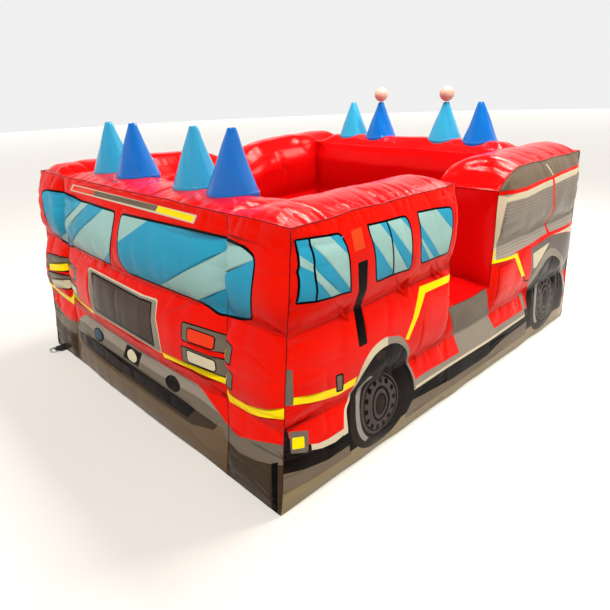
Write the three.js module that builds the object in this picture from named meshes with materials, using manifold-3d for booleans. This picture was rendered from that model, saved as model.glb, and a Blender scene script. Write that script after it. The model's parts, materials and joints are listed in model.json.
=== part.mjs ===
// Inflatable fire-engine play pen with air-jet cones, floating balls and its blower.
// Millimetres, +Z up, X across the pen, the windscreen end faces -Y, the entry gap is in the +X side.
// The origin is on the ground under the middle of the play area.
import * as THREE from "three";
import { mergeVertices } from "three/addons/utils/BufferGeometryUtils.js";
import Module from "manifold-3d";

const wasm = await Module();
wasm.setup();

// ---- driving dimensions -------------------------------------------------------------------
const HALF_WIDTH = 1065; // outer side seam, from the middle
const HALF_LENGTH = 1109; // front and rear roof seams, from the middle
const ROOF = 1055; // height of the roof seams
const CREASE_LOW = 340; // lower tie baffle
const CREASE_HIGH = 700; // upper tie baffle
const FRONT_FLARE = 119; // how far the front face leans out at the foot
const REAR_FLARE = 108; // the same at the rear
const SIDE_THICK = 328; // side walls
const END_THICK = 300; // front and rear walls
const GAP_FROM = -170; // entry gap in the +X wall, from here
const GAP_TO = 200; // to here along Y
const STEP_TOP = 490; // top of the entrance step
const SKIN = 4; // thickness that stands in for the coated fabric
const CROWN = 38; // how far a roof panel swells
const BELLY = [16, 30, 38]; // how far the three bands of an outer face swell, from the foot up
const FRONT_BELLY = [30, 64, 64]; // the front wall also bows out between its corners
const SHOULDER = { drop: 92, length: 190 }; // how the rear section's roof seam falls towards the gap
const EDGE = 70; // width of the margin in which a long face swells out from its seam
const PORT_R = 70; // air port between two chambers
const CLEAR = 0.3; // gap between touching pieces
const ROUND = 28; // sides of the nested round pieces, so that their flats line up

const CONE_X = [-515, -262, 262, 515];
const CONE_Y = { front: -914, rear: 979 };
const CONE_BASE = 1080; // height of a cone's foot plane
const CONE_HEIGHT = 238;
const CONE_FOOT_R = 102;
const CONE_TIP_R = 17;
const CONE_HEM = 12; // height of the folded hem round the foot
const BALL_R = 46;
const HOVER = 6; // how far a ball floats above the mouth it would rest in

const TAB = { width: 90, reach: 55, thick: 5 }; // anchor tab
const RING = { width: 44, bar_r: 3, depth: 34 }; // D-ring

const SLEEVE_X = -430; // blower and inflation sleeve, across the pen
const SLEEVE_Z = 190; // height of the sleeve's axis
const SLEEVE_R = 98;
const ZIP = { x: 400, low: 460, high: 580, length: 420 }; // deflation zip on the rear wall

const FAN = { y: 1690, width: 190, tongue_r: 125, scroll_r: 178, wall: 4, wheel_r: 112 };
const STAND_Z = 12; // underside of the blower's stand plate
const STAND_T = 4;
const NOZZLE_Y = 1430; // free end of the blower's outlet
const MOTOR = { r: 54, length: 118, shaft_r: 6 };

// ---- materials ----------------------------------------------------------------------------
const paint = (color, roughness, metalness = 0) =>
  new THREE.MeshStandardMaterial({ color, roughness, metalness });
const MATERIALS = {
  print: paint(0xe02410, 0.35),
  red: paint(0xd8121c, 0.3),
  baffle: paint(0xb01418, 0.5),
  cone_light: paint(0x3a9cc0, 0.4),
  cone_dark: paint(0x1468c0, 0.4),
  ball: paint(0xe8d0b8, 0.4),
  webbing: paint(0x111111, 0.8),
  steel: paint(0xb8bcc0, 0.3, 1),
  housing: paint(0x2a2d31, 0.5),
  cast: paint(0x8a8d90, 0.5, 0.8),
  rubber: paint(0x181818, 0.9),
  zip: paint(0x1c1c1e, 0.6),
  switch_red: paint(0xc01010, 0.4),
};

// ---- solids -------------------------------------------------------------------------------
function solid(geometry) {
  const bare = geometry.index ? geometry.toNonIndexed() : geometry.clone();
  bare.deleteAttribute("normal");
  bare.deleteAttribute("uv");
  const merged = mergeVertices(bare, 1e-3);
  const made = new wasm.Manifold(
    new wasm.Mesh({
      numProp: 3,
      vertProperties: merged.attributes.position.array,
      triVerts: new Uint32Array(merged.index.array),
    }),
  );
  if (made.volume() <= 0) throw new Error("a solid's faces point inwards");
  return made;
}

function geometryOf(made) {
  const mesh = made.getMesh();
  const geometry = new THREE.BufferGeometry();
  geometry.setAttribute("position", new THREE.BufferAttribute(mesh.vertProperties, 3));
  geometry.setIndex(new THREE.BufferAttribute(mesh.triVerts, 1));
  geometry.computeVertexNormals();
  return geometry;
}

const part = new THREE.Group();

function add(name, shape, material, group = part) {
  const geometry = shape.isBufferGeometry ? shape : geometryOf(shape);
  const mesh = new THREE.Mesh(geometry, MATERIALS[material]);
  mesh.name = name;
  group.add(mesh);
  return mesh;
}

const box = (x0, x1, y0, y1, z0, z1) =>
  new THREE.BoxGeometry(x1 - x0, y1 - y0, z1 - z0).translate(
    (x0 + x1) / 2, (y0 + y1) / 2, (z0 + z1) / 2);

// A cylinder along "x", "y" or "z", centred on (x, y, z).
function rod(axis, r, length, x, y, z, sides = 20) {
  const made = new THREE.CylinderGeometry(r, r, length, sides);
  if (axis === "x") made.rotateZ(Math.PI / 2);
  if (axis === "z") made.rotateX(Math.PI / 2);
  return made.translate(x, y, z);
}

// A body of revolution along "x", "y" or "z" from [radius, height] pairs, which go up the outside
// and, for a hollow one, back down the inside to the first pair.
function turned(axis, profile, sides = 20) {
  const made = new THREE.LatheGeometry(profile.map(([r, h]) => new THREE.Vector2(r, h)), sides);
  if (axis === "x") made.rotateZ(-Math.PI / 2);
  if (axis === "z") made.rotateX(Math.PI / 2);
  return made;
}

const closed = (profile) => [...profile, profile[0]];

// An outline drawn in (Y, Z) and extruded along +X.
function sideways(shape, depth, curveSegments = 6) {
  const made = new THREE.ExtrudeGeometry(shape, { depth, bevelEnabled: false, curveSegments });
  const toYZ = new THREE.Matrix4().makeBasis(
    new THREE.Vector3(0, 1, 0), new THREE.Vector3(0, 0, 1), new THREE.Vector3(1, 0, 0));
  return made.applyMatrix4(toYZ);
}

// ---- inflated chambers --------------------------------------------------------------------
const frontFace = (z) => -HALF_LENGTH - FRONT_FLARE * (1 - z / ROOF);
const rearFace = (z) => HALF_LENGTH + REAR_FLARE * (1 - z / ROOF);

// Stations along an edge, each with its swell: nothing on a seam, all of it in between.
function stations(from, to, margin) {
  return [[from, 0], [from + margin, 1], [to - margin, 1], [to, 0]];
}

function heightStations(top, belly) {
  const seams = [0, CREASE_LOW, CREASE_HIGH, ROOF].filter((z) => z < top).concat(top);
  const levels = [[0, 0]];
  seams.slice(1).forEach((z, band) => {
    const low = seams[band];
    const inset = (z - low) / 3;
    levels.push([low + inset, belly[band]], [z - inset, belly[band]], [z, 0]);
  });
  return levels;
}

// The outer or inner skin of a chamber. spec.x and spec.y are [low, high], where either y may be a
// function of height; spec.swell lists the faces that swell; inset moves every face inwards.
function skinOf(spec, inset) {
  const at = (value, z) => (typeof value === "function" ? value(z) : value);
  const xs = stations(0, 1, EDGE / (spec.x[1] - spec.x[0]));
  const ySpan = at(spec.y[1], 0) - at(spec.y[0], 0);
  const ys = stations(0, 1, EDGE / ySpan);
  const zs = heightStations(spec.top, spec.belly || BELLY);
  const made = new THREE.BoxGeometry(1, 1, 1, xs.length - 1, ys.length - 1, zs.length - 1);
  const p = made.attributes.position;
  const last = zs.length - 1;
  for (let n = 0; n < p.count; n += 1) {
    const i = Math.round((p.getX(n) + 0.5) * (xs.length - 1));
    const j = Math.round((p.getY(n) + 0.5) * (ys.length - 1));
    const k = Math.round((p.getZ(n) + 0.5) * last);
    const [u, acrossX] = xs[i];
    const [v, acrossY] = ys[j];
    const [level, belly] = zs[k];
    const z = THREE.MathUtils.lerp(inset, spec.top - inset, level / spec.top);
    let x = THREE.MathUtils.lerp(spec.x[0] + inset, spec.x[1] - inset, u);
    let y = THREE.MathUtils.lerp(at(spec.y[0], z) + inset, at(spec.y[1], z) - inset, v);
    let up = 0;
    if (spec.shoulder && level > CREASE_HIGH) {
      const near = THREE.MathUtils.clamp(1 - (y - GAP_TO) / SHOULDER.length, 0, 1);
      up = (-SHOULDER.drop * near ** 2 * (level - CREASE_HIGH)) / (ROOF - CREASE_HIGH);
    }
    if (spec.swell.includes("-x") && i === 0) x -= belly * acrossY;
    if (spec.swell.includes("+x") && i === 3) x += belly * acrossY;
    if (spec.swell.includes("-y") && j === 0) y -= belly * acrossX;
    if (spec.swell.includes("+y") && j === 3) y += belly * acrossX;
    if (k === last) up += spec.crown * acrossX * acrossY;
    p.setXYZ(n, x, y, z + up);
  }
  return solid(made);
}

// A hollow chamber with its air ports cut through.
function chamber(name, spec, material, ports = []) {
  const outer = skinOf(spec, 0);
  let made = outer.subtract(skinOf(spec, SKIN));
  ports.forEach((port) => { made = made.subtract(solid(port)); });
  add(name, made, material);
  return outer;
}

// A tie baffle: a horizontal web inside a chamber, with holes that let the air past.
function baffle(name, spec, height) {
  const slack = SKIN + CLEAR;
  const at = (value, z) => (typeof value === "function" ? value(z) : value);
  const x0 = spec.x[0] + slack;
  const x1 = spec.x[1] - slack;
  const y0 = Math.max(at(spec.y[0], height), at(spec.y[0], height + SKIN)) + slack;
  const y1 = Math.min(at(spec.y[1], height), at(spec.y[1], height + SKIN)) - slack;
  const sheet = new THREE.Shape([[x0, y0], [x1, y0], [x1, y1], [x0, y1]]
    .map(([x, y]) => new THREE.Vector2(x, y)));
  const alongX = x1 - x0 > y1 - y0;
  [0.2, 0.8].forEach((where) => {
    const hole = new THREE.Path();
    const x = alongX ? THREE.MathUtils.lerp(x0, x1, where) : (x0 + x1) / 2;
    const y = alongX ? (y0 + y1) / 2 : THREE.MathUtils.lerp(y0, y1, where);
    hole.absarc(x, y, PORT_R, 0, Math.PI * 2);
    sheet.holes.push(hole);
  });
  const made = new THREE.ExtrudeGeometry(sheet, { depth: SKIN / 2, bevelEnabled: false, curveSegments: 5 });
  add(name, made.translate(0, 0, height + SKIN / 4), "baffle");
}

const HALF_CLEAR = CLEAR / 2;
const INNER_X = HALF_WIDTH - SIDE_THICK;
const INNER_Y = HALF_LENGTH - END_THICK;
const PORT_Z = (CREASE_LOW + CREASE_HIGH) / 2;
const PORT_Y = HALF_LENGTH - END_THICK / 2;
const THROUGH = 60; // length of a port cutter

const SPECS = {
  front_wall: {
    x: [-INNER_X + HALF_CLEAR, INNER_X - HALF_CLEAR], y: [frontFace, -INNER_Y],
    top: ROOF, crown: CROWN, swell: ["-y"], belly: FRONT_BELLY, material: "print",
  },
  rear_wall: {
    x: [-INNER_X + HALF_CLEAR, INNER_X - HALF_CLEAR], y: [INNER_Y, rearFace],
    top: ROOF, crown: CROWN, swell: ["+y"], material: "print",
  },
  left_wall: {
    x: [-HALF_WIDTH, -INNER_X - HALF_CLEAR], y: [frontFace, rearFace],
    top: ROOF, crown: CROWN, swell: ["-x", "-y", "+y"], material: "print",
  },
  right_wall_cab: {
    x: [INNER_X + HALF_CLEAR, HALF_WIDTH], y: [frontFace, GAP_FROM - HALF_CLEAR],
    top: ROOF, crown: CROWN, swell: ["+x", "-y"], material: "print",
  },
  right_wall_rear: {
    x: [INNER_X + HALF_CLEAR, HALF_WIDTH], y: [GAP_TO + HALF_CLEAR, rearFace],
    top: ROOF, crown: CROWN, swell: ["+x", "+y"], material: "print", shoulder: true,
  },
  entrance_step: {
    x: [INNER_X + HALF_CLEAR, HALF_WIDTH], y: [GAP_FROM + HALF_CLEAR, GAP_TO - HALF_CLEAR],
    top: STEP_TOP, crown: 20, swell: ["+x"], material: "print",
  },
};

// Where each chamber is open to its neighbours.
function portsOf(name) {
  const corner = (x, y) => rod("x", PORT_R, THROUGH, x, y, PORT_Z, 12);
  const step = (y) => rod("y", PORT_R, THROUGH, HALF_WIDTH - SIDE_THICK / 2, y, CREASE_LOW / 2, 12);
  const jets = (y) => CONE_X.map((x) => rod("z", PORT_R, CROWN * 4, x, y, ROOF, 12));
  return {
    front_wall: [corner(-INNER_X, -PORT_Y), corner(INNER_X, -PORT_Y), ...jets(CONE_Y.front)],
    rear_wall: [corner(-INNER_X, PORT_Y), corner(INNER_X, PORT_Y), ...jets(CONE_Y.rear),
      rod("y", SLEEVE_R - 10, 140, SLEEVE_X, rearFace(SLEEVE_Z), SLEEVE_Z, 16)],
    left_wall: [corner(-INNER_X, -PORT_Y), corner(-INNER_X, PORT_Y)],
    right_wall_cab: [corner(INNER_X, -PORT_Y), step(GAP_FROM)],
    right_wall_rear: [corner(INNER_X, PORT_Y), step(GAP_TO)],
    entrance_step: [step(GAP_FROM), step(GAP_TO)],
  }[name];
}

const OUTER = {};
for (const [name, spec] of Object.entries(SPECS)) {
  OUTER[name] = chamber(name, spec, spec.material, portsOf(name));
  if (name === "entrance_step") continue;
  baffle(`${name}_lower_baffle`, spec, CREASE_LOW);
  baffle(`${name}_upper_baffle`, spec, CREASE_HIGH);
}

const FLOOR_T = 8;
add("floor_sheet", box(-INNER_X + CLEAR, INNER_X - CLEAR, -INNER_Y + CLEAR, INNER_Y - CLEAR, 0, FLOOR_T), "red");

// ---- jet cones and balls ------------------------------------------------------------------
function jetCone(name, x, y, wall, material) {
  const slope = (CONE_FOOT_R - CONE_TIP_R) / (CONE_HEIGHT - CONE_HEM);
  const below = ROOF + 1 - CONE_BASE;
  const shell = turned("z", closed([
    [CONE_FOOT_R + SKIN, below], [CONE_FOOT_R + SKIN, CONE_HEM], [CONE_FOOT_R, CONE_HEM],
    [CONE_TIP_R, CONE_HEIGHT], [CONE_TIP_R - SKIN, CONE_HEIGHT],
    [CONE_FOOT_R - SKIN, CONE_HEM - slope], [CONE_FOOT_R - SKIN, below],
  ]), 16).translate(x, y, CONE_BASE);
  add(name, solid(shell).subtract(wall.translate([0, 0, CLEAR])), material);
}

CONE_X.forEach((x, n) => {
  const material = n % 2 ? "cone_dark" : "cone_light";
  jetCone(`front_jet_cone_${n + 1}`, x, CONE_Y.front, OUTER.front_wall, material);
  jetCone(`rear_jet_cone_${n + 1}`, x, CONE_Y.rear, OUTER.rear_wall, material);
});

[1, 2].forEach((n) => {
  const seat = Math.sqrt(BALL_R ** 2 - (CONE_TIP_R - SKIN) ** 2);
  const ball = new THREE.SphereGeometry(BALL_R, 14, 8).rotateX(Math.PI / 2);
  const mesh = add(`float_ball_${n}`, ball, "ball");
  mesh.position.set(CONE_X[n], CONE_Y.rear, CONE_BASE + CONE_HEIGHT + seat + HOVER);
});

// ---- anchor tabs and D-rings --------------------------------------------------------------
// A tab lies on the ground and points away from the wall; the ring's bar runs in its folded end.
function anchor(name, x, y, turn) {
  const group = new THREE.Group();
  group.position.set(x, y, 0);
  group.rotation.z = turn;
  part.add(group);
  const { width, reach, thick } = TAB;
  const eye = RING.bar_r + 1.2;
  const barAt = reach - eye - 2;
  const barZ = eye + 1;
  const neck = RING.width / 2;
  const strap = solid(box(-width / 2, width / 2, 0, barAt - 2 * eye, 0, thick))
    .add(solid(box(-neck, neck, 0, barAt, 0, thick)))
    .add(solid(rod("x", eye + 1, 2 * neck, 0, barAt, barZ, 12)))
    .subtract(solid(rod("x", RING.bar_r + CLEAR, width, 0, barAt, barZ, 12)))
    .intersect(solid(box(-width, width, -1, reach + eye, 0, 4 * eye)));
  add(`${name}_tab`, strap, "webbing", group);
  const half = RING.width / 2 + 8;
  const outline = new THREE.CurvePath();
  outline.add(new THREE.LineCurve3(new THREE.Vector3(half, 0, 0), new THREE.Vector3(half, 8, 0)));
  const bow = new THREE.CatmullRomCurve3([
    [half, 8], [half * 0.8, RING.depth * 0.78], [0, RING.depth], [-half * 0.8, RING.depth * 0.78], [-half, 8],
  ].map(([u, v]) => new THREE.Vector3(u, v, 0)));
  outline.add(bow);
  outline.add(new THREE.LineCurve3(new THREE.Vector3(-half, 8, 0), new THREE.Vector3(-half, 0, 0)));
  const section = new THREE.Shape().absarc(0, 0, RING.bar_r, 0, Math.PI * 2);
  const loop = new THREE.ExtrudeGeometry(section, { steps: 12, extrudePath: outline, curveSegments: 3 });
  const ring = solid(loop).add(solid(rod("x", RING.bar_r, 2 * half + 2 * RING.bar_r, 0, 0, 0, 8)));
  const mesh = add(`${name}_ring`, ring, "steel", group);
  mesh.position.set(0, barAt, barZ);
}

// Two anchors at the rear, one at the front and one on the closed side, each near a corner.
const TAB_OUT = 2; // how far a tab starts from its wall
const TAB_X = HALF_WIDTH - 95;
const TAB_Y = HALF_LENGTH - 70;
anchor("front_anchor", -TAB_X, frontFace(0) - TAB_OUT, Math.PI);
anchor("rear_right_anchor", TAB_X, rearFace(0) + TAB_OUT, 0);
anchor("rear_left_anchor", -TAB_X, rearFace(0) + TAB_OUT, 0);
anchor("left_anchor", -HALF_WIDTH - TAB_OUT, -TAB_Y, Math.PI / 2);

// ---- inflation sleeve ---------------------------------------------------------------------
const NOZZLE_R = 80;
const SLEEVE_END = NOZZLE_Y + 62;
function sleeve() {
  const wallY = rearFace(SLEEVE_Z);
  const length = SLEEVE_END - wallY;
  const neck = length - 50;
  const inner = NOZZLE_R + CLEAR;
  const tube = turned("y", closed([
    [SLEEVE_R, -40], [SLEEVE_R + 10, length * 0.35], [SLEEVE_R - 2, length * 0.6], [inner + SKIN, neck],
    [inner + SKIN, neck + 30], [inner + 12, length],
    [inner + 12 - SKIN, length], [inner, neck + 30], [inner, neck], [SLEEVE_R - 2 - SKIN, length * 0.6],
    [SLEEVE_R + 10 - SKIN, length * 0.35], [SLEEVE_R - SKIN, -40],
  ]), ROUND).translate(SLEEVE_X, wallY, SLEEVE_Z);
  add("inflation_sleeve", solid(tube).subtract(OUTER.rear_wall.translate([0, CLEAR, 0])), "red");

  const strapR = inner + SKIN + CLEAR;
  const strapY = wallY + neck + 3;
  const band = turned("y", closed([
    [strapR + 2.5, 0], [strapR + 2.5, 24], [strapR, 24], [strapR, 0],
  ]), ROUND).translate(SLEEVE_X, strapY, SLEEVE_Z);
  add("cinch_strap", band, "webbing");
  const buckleZ = SLEEVE_Z + strapR + 2.5 + CLEAR;
  const frame = solid(box(-20, 20, -3, 27, 0, 6)).subtract(solid(box(-13, -2, 2, 22, -1, 7)))
    .subtract(solid(box(2, 13, 2, 22, -1, 7)));
  add("cinch_buckle", frame.translate([SLEEVE_X, strapY, buckleZ]), "steel");
}
sleeve();

// ---- deflation zip on the rear wall -------------------------------------------------------
// Its group stands on the flat middle of the door band: local +Y points out of the wall.
function deflationZip() {
  const lean = Math.atan(REAR_FLARE / ROOF);
  const group = new THREE.Group();
  const z = (ZIP.low + ZIP.high) / 2;
  group.position.set(ZIP.x, rearFace(z) + BELLY[1], z);
  group.rotation.x = lean;
  part.add(group);
  const half = ZIP.length / 2;
  add("zip_tape", box(-half, half, CLEAR + 0.2, 3, -16, 16), "zip", group);
  const slider = solid(box(-9, 9, 3.3, 11, -7, 7)).add(solid(box(-4, 4, 8, 11, -34, -5)));
  add("zip_slider", slider, "steel", group).position.x = half - 20;
  const flapTop = 30;
  const flap = box(-half - 15, half + 15, 15, 18, -62, 4);
  add("zip_flap", flap, "red", group).position.z = flapTop;
  const hem = box(-half - 15, half + 15, CLEAR + 0.2, 18, flapTop + 8, flapTop + 22);
  add("zip_flap_hem", hem, "red", group);
}
deflationZip();

// ---- blower -------------------------------------------------------------------------------
const blower = new THREE.Group();
blower.position.set(SLEEVE_X, FAN.y, STAND_Z + STAND_T + CLEAR + FAN.scroll_r);
part.add(blower);
const PLATE_Z = -FAN.scroll_r - CLEAR - STAND_T; // underside of the stand plate in the blower's frame
const DUCT_Y = NOZZLE_Y + 130 - FAN.y; // mouth of the scroll's duct
const AXIS_ANGLE = { start: -Math.PI / 2, sweep: (Math.PI * 11) / 9 };
const HALF_FAN = FAN.width / 2;

// The scroll: its radius shrinks evenly from the floor of the duct round to the tongue.
function scroll(inset, mouth) {
  const floor = -(FAN.scroll_r - inset);
  const points = [new THREE.Vector2(mouth, floor)];
  const steps = 20;
  for (let n = 0; n <= steps; n += 1) {
    const angle = AXIS_ANGLE.start + (AXIS_ANGLE.sweep * n) / steps;
    const r = THREE.MathUtils.lerp(FAN.scroll_r, FAN.tongue_r, n / steps) - inset;
    points.push(new THREE.Vector2(r * Math.cos(angle), r * Math.sin(angle)));
  }
  const end = points[points.length - 1];
  points.push(new THREE.Vector2(mouth, end.y));
  return new THREE.Shape(points);
}

const INLET_R = 86;
function housingHalf(name, side) {
  const x0 = side > 0 ? HALF_CLEAR : -HALF_FAN;
  const outer = solid(sideways(scroll(0, DUCT_Y), HALF_FAN - HALF_CLEAR).translate(x0, 0, 0));
  const cavityX = side > 0 ? -1 : -HALF_FAN + FAN.wall;
  const cavity = solid(sideways(scroll(FAN.wall, DUCT_Y - 10), HALF_FAN - FAN.wall + 1).translate(cavityX, 0, 0));
  const inlet = solid(rod("x", INLET_R, 40, side * HALF_FAN, 0, 0, 28));
  add(name, outer.subtract(cavity).subtract(inlet), "housing", blower);
  return outer;
}
const housingRight = housingHalf("blower_housing_right", 1);
const housingLeft = housingHalf("blower_housing_left", -1);

function outletNozzle() {
  const z = SLEEVE_Z - blower.position.z;
  const flangeY = DUCT_Y - CLEAR;
  const tubeLength = flangeY - (NOZZLE_Y - FAN.y);
  const plate = solid(box(-HALF_FAN, HALF_FAN, flangeY - 6, flangeY, -FAN.scroll_r, -FAN.scroll_r + 2 * NOZZLE_R));
  const tube = solid(rod("y", NOZZLE_R - CLEAR, tubeLength, 0, flangeY - tubeLength / 2, z, ROUND));
  const bore = solid(rod("y", NOZZLE_R - 6, tubeLength * 3, 0, flangeY, z, ROUND));
  add("blower_outlet", plate.add(tube).subtract(bore), "housing", blower);
}
outletNozzle();

const WHEEL_HALF = HALF_FAN - 24;
function impeller() {
  const rim = FAN.wheel_r;
  const blades = 12;
  const sides = 24;
  let made = solid(turned("x", closed([
    [rim, -1.5], [rim, 1.5], [22, 1.5], [22, 14], [MOTOR.shaft_r + CLEAR, 14],
    [MOTOR.shaft_r + CLEAR, -8], [22, -8], [22, -1.5],
  ]), sides));
  [-1, 1].forEach((side) => {
    const ring = closed([[rim, -1.5], [rim, 1.5], [rim - 14, 1.5], [rim - 14, -1.5]]);
    made = made.add(solid(turned("x", ring, sides).translate(side * (WHEEL_HALF - 1.5), 0, 0)));
  });
  for (let n = 0; n < blades; n += 1) {
    const blade = box(-WHEEL_HALF + 1, WHEEL_HALF - 1, -1, 1, -6, 6);
    blade.rotateX(0.6);
    blade.translate(0, 0, rim - 7);
    blade.rotateX((n / blades) * Math.PI * 2);
    made = made.add(solid(blade));
  }
  add("impeller", made, "housing", blower);
}
impeller();

function motor() {
  const bore = MOTOR.shaft_r + CLEAR;
  const near = -12;
  const far = near - MOTOR.length;
  const body = turned("x", closed([
    [bore, far], [MOTOR.r - 16, far], [MOTOR.r, far + 12], [MOTOR.r, near - 10], [MOTOR.r - 12, near], [bore, near],
  ]), ROUND);
  add("motor", body, "cast", blower);
  const shaftFar = far - 8;
  const shaft = turned("x", [[0, shaftFar], [MOTOR.shaft_r, shaftFar], [MOTOR.shaft_r, 24], [0, 24]], 12);
  add("motor_shaft", shaft, "steel", blower);
}

// An inlet grille: an outer ring on the housing, a hub ring, and spokes between them.
function inletGrille(name, side, hubR, holeR) {
  const x = side * (HALF_FAN + CLEAR + 3);
  const ring = (outer, inner, sides = 20) => solid(turned("x", closed([
    [outer, -3], [outer, 3], [inner, 3], [inner, -3],
  ]), sides).translate(x, 0, 0));
  let made = ring(INLET_R + 10, INLET_R - 6);
  made = made.add(ring((INLET_R + hubR) / 2 + 3, (INLET_R + hubR) / 2 - 3));
  made = made.add(ring(hubR, holeR, ROUND));
  const spokes = 6;
  for (let n = 0; n < spokes; n += 1) {
    const spoke = box(x - 2, x + 2, -2.5, 2.5, hubR - 2, INLET_R);
    made = made.add(solid(spoke.rotateX((n * Math.PI * 2) / spokes)));
  }
  add(name, made, "housing", blower);
}
motor();
inletGrille("inlet_grille_motor_side", -1, MOTOR.r + 8, MOTOR.r + CLEAR);
inletGrille("inlet_grille_free_side", 1, 26, 12);

function stand() {
  const halfX = HALF_FAN + CLEAR + STAND_T;
  const cheekTop = -INLET_R - 14;
  const plate = solid(box(-halfX, halfX, -120, 190, PLATE_Z, PLATE_Z + STAND_T));
  const cheek = (side) => solid(box(
    side > 0 ? halfX - STAND_T : -halfX, side > 0 ? halfX : -halfX + STAND_T,
    -70, 110, PLATE_Z + 1, cheekTop));
  add("blower_stand", plate.add(cheek(1)).add(cheek(-1)), "cast", blower);
  [[-1, -1], [1, -1], [-1, 1], [1, 1]].forEach(([sx, sy], n) => {
    const foot = turned("z", [[0, 0], [16, 0], [18, STAND_Z - CLEAR], [0, STAND_Z - CLEAR]], 14);
    foot.translate(sx * (halfX - 22), sy > 0 ? 165 : -95, -blower.position.z);
    add(`blower_foot_${n + 1}`, foot, "rubber", blower);
  });
}
stand();

const HANDLE = { half: 62, rise: 44, r: 9, root: 120 };
function handle() {
  const { half, rise, r, root } = HANDLE;
  const top = root + 34 + rise;
  const path = new THREE.CatmullRomCurve3(
    [[-half, root], [-half, top - 26], [-half + 20, top - 4], [0, top], [half - 20, top - 4], [half, top - 26], [half, root]]
      .map(([y, z]) => new THREE.Vector3(0, y, z)));
  const section = new THREE.Shape().absarc(0, 0, r, 0, Math.PI * 2);
  const grip = solid(new THREE.ExtrudeGeometry(section, { steps: 16, extrudePath: path, curveSegments: 4 }));
  const body = housingRight.add(housingLeft).add(solid(box(-1, 1, -100, 100, 0, 100)));
  add("carry_handle", grip.subtract(body.translate([0, 0, CLEAR])), "housing", blower);
}
handle();

const ROCKER_TILT = THREE.MathUtils.degToRad(8); // top pressed in: switched on
function switchGear() {
  const z0 = PLATE_Z + STAND_T + CLEAR;
  const back = 178;
  const rockerZ = z0 + 60;
  const recess = box(-11, 11, back - 8, back + 1, rockerZ - 15, rockerZ + 15);
  const body = box(-34, 34, 138, back, z0, z0 + 84);
  add("switch_box", solid(body).subtract(solid(recess)), "housing", blower);
  const rocker = turned("x", [[0, -9], [13, -9], [13, 9], [0, 9]], 16);
  const cut = solid(rocker).intersect(solid(box(-10, 10, -2, 20, -12, 12)));
  const mesh = add("switch_rocker", cut, "switch_red", blower);
  mesh.position.set(0, back - 4 + CLEAR, rockerZ);
  mesh.rotation.x = ROCKER_TILT;
  const gland = turned("y", closed([[11, 0], [11, 8], [8, 12], [7, 30], [4.5, 30], [4.5, 0]]), 16);
  add("cable_gland", gland.translate(0, back + CLEAR, z0 + 24), "rubber", blower);
}
switchGear();

export default part;
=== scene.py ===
"""Inflatable fire-engine play pen: the looks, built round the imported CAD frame, in metres."""

import bpy
import json
import math
import numpy as np
from mathutils import Matrix, Vector
from mathutils.geometry import delaunay_2d_cdt

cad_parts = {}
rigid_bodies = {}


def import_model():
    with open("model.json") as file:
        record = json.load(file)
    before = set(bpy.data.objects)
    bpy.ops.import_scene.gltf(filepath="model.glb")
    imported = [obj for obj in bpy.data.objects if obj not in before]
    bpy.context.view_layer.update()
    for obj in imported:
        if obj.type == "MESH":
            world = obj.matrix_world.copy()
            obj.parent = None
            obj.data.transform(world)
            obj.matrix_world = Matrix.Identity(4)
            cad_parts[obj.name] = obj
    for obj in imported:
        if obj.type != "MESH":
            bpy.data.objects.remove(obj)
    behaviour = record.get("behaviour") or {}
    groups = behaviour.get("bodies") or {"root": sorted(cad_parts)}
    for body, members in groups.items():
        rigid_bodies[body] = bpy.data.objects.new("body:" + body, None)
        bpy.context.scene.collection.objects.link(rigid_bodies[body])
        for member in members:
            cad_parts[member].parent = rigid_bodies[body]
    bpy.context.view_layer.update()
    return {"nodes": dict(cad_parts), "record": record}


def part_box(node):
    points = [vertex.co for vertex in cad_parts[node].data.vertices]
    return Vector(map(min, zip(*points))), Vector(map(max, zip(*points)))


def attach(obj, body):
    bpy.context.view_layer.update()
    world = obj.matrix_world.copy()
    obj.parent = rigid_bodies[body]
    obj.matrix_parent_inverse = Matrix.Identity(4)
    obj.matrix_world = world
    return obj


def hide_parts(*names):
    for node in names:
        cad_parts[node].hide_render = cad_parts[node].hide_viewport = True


for left_over in list(bpy.data.objects):
    bpy.data.objects.remove(left_over)
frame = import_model()
SCENE = bpy.context.scene
NODES = frame["nodes"]

# ---- camera --------------------------------------------------------------------------------
CAMERA_AT = Vector((2.266, -2.183, 1.465))
YAW, PITCH, ROLL = (math.radians(a) for a in (47.02, 22.45, -2.34))
FOCAL_SHARE = 537.88 / 610  # focal length over image width
SENSOR = 36.0

ahead = Vector((-math.sin(YAW) * math.cos(PITCH), math.cos(YAW) * math.cos(PITCH), -math.sin(PITCH)))
aside = Vector((math.cos(YAW), math.sin(YAW), 0))
above = aside.cross(ahead)
right = math.cos(ROLL) * aside + math.sin(ROLL) * above
up = -math.sin(ROLL) * aside + math.cos(ROLL) * above
lens = bpy.data.cameras.new("camera")
lens.sensor_width = SENSOR
lens.lens = FOCAL_SHARE * SENSOR
camera = bpy.data.objects.new("camera", lens)
camera.matrix_world = Matrix.Translation(CAMERA_AT) @ Matrix((right, up, -ahead)).transposed().to_4x4()
SCENE.collection.objects.link(camera)
SCENE.camera = camera
SCENE.view_settings.view_transform = "Standard"

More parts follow.
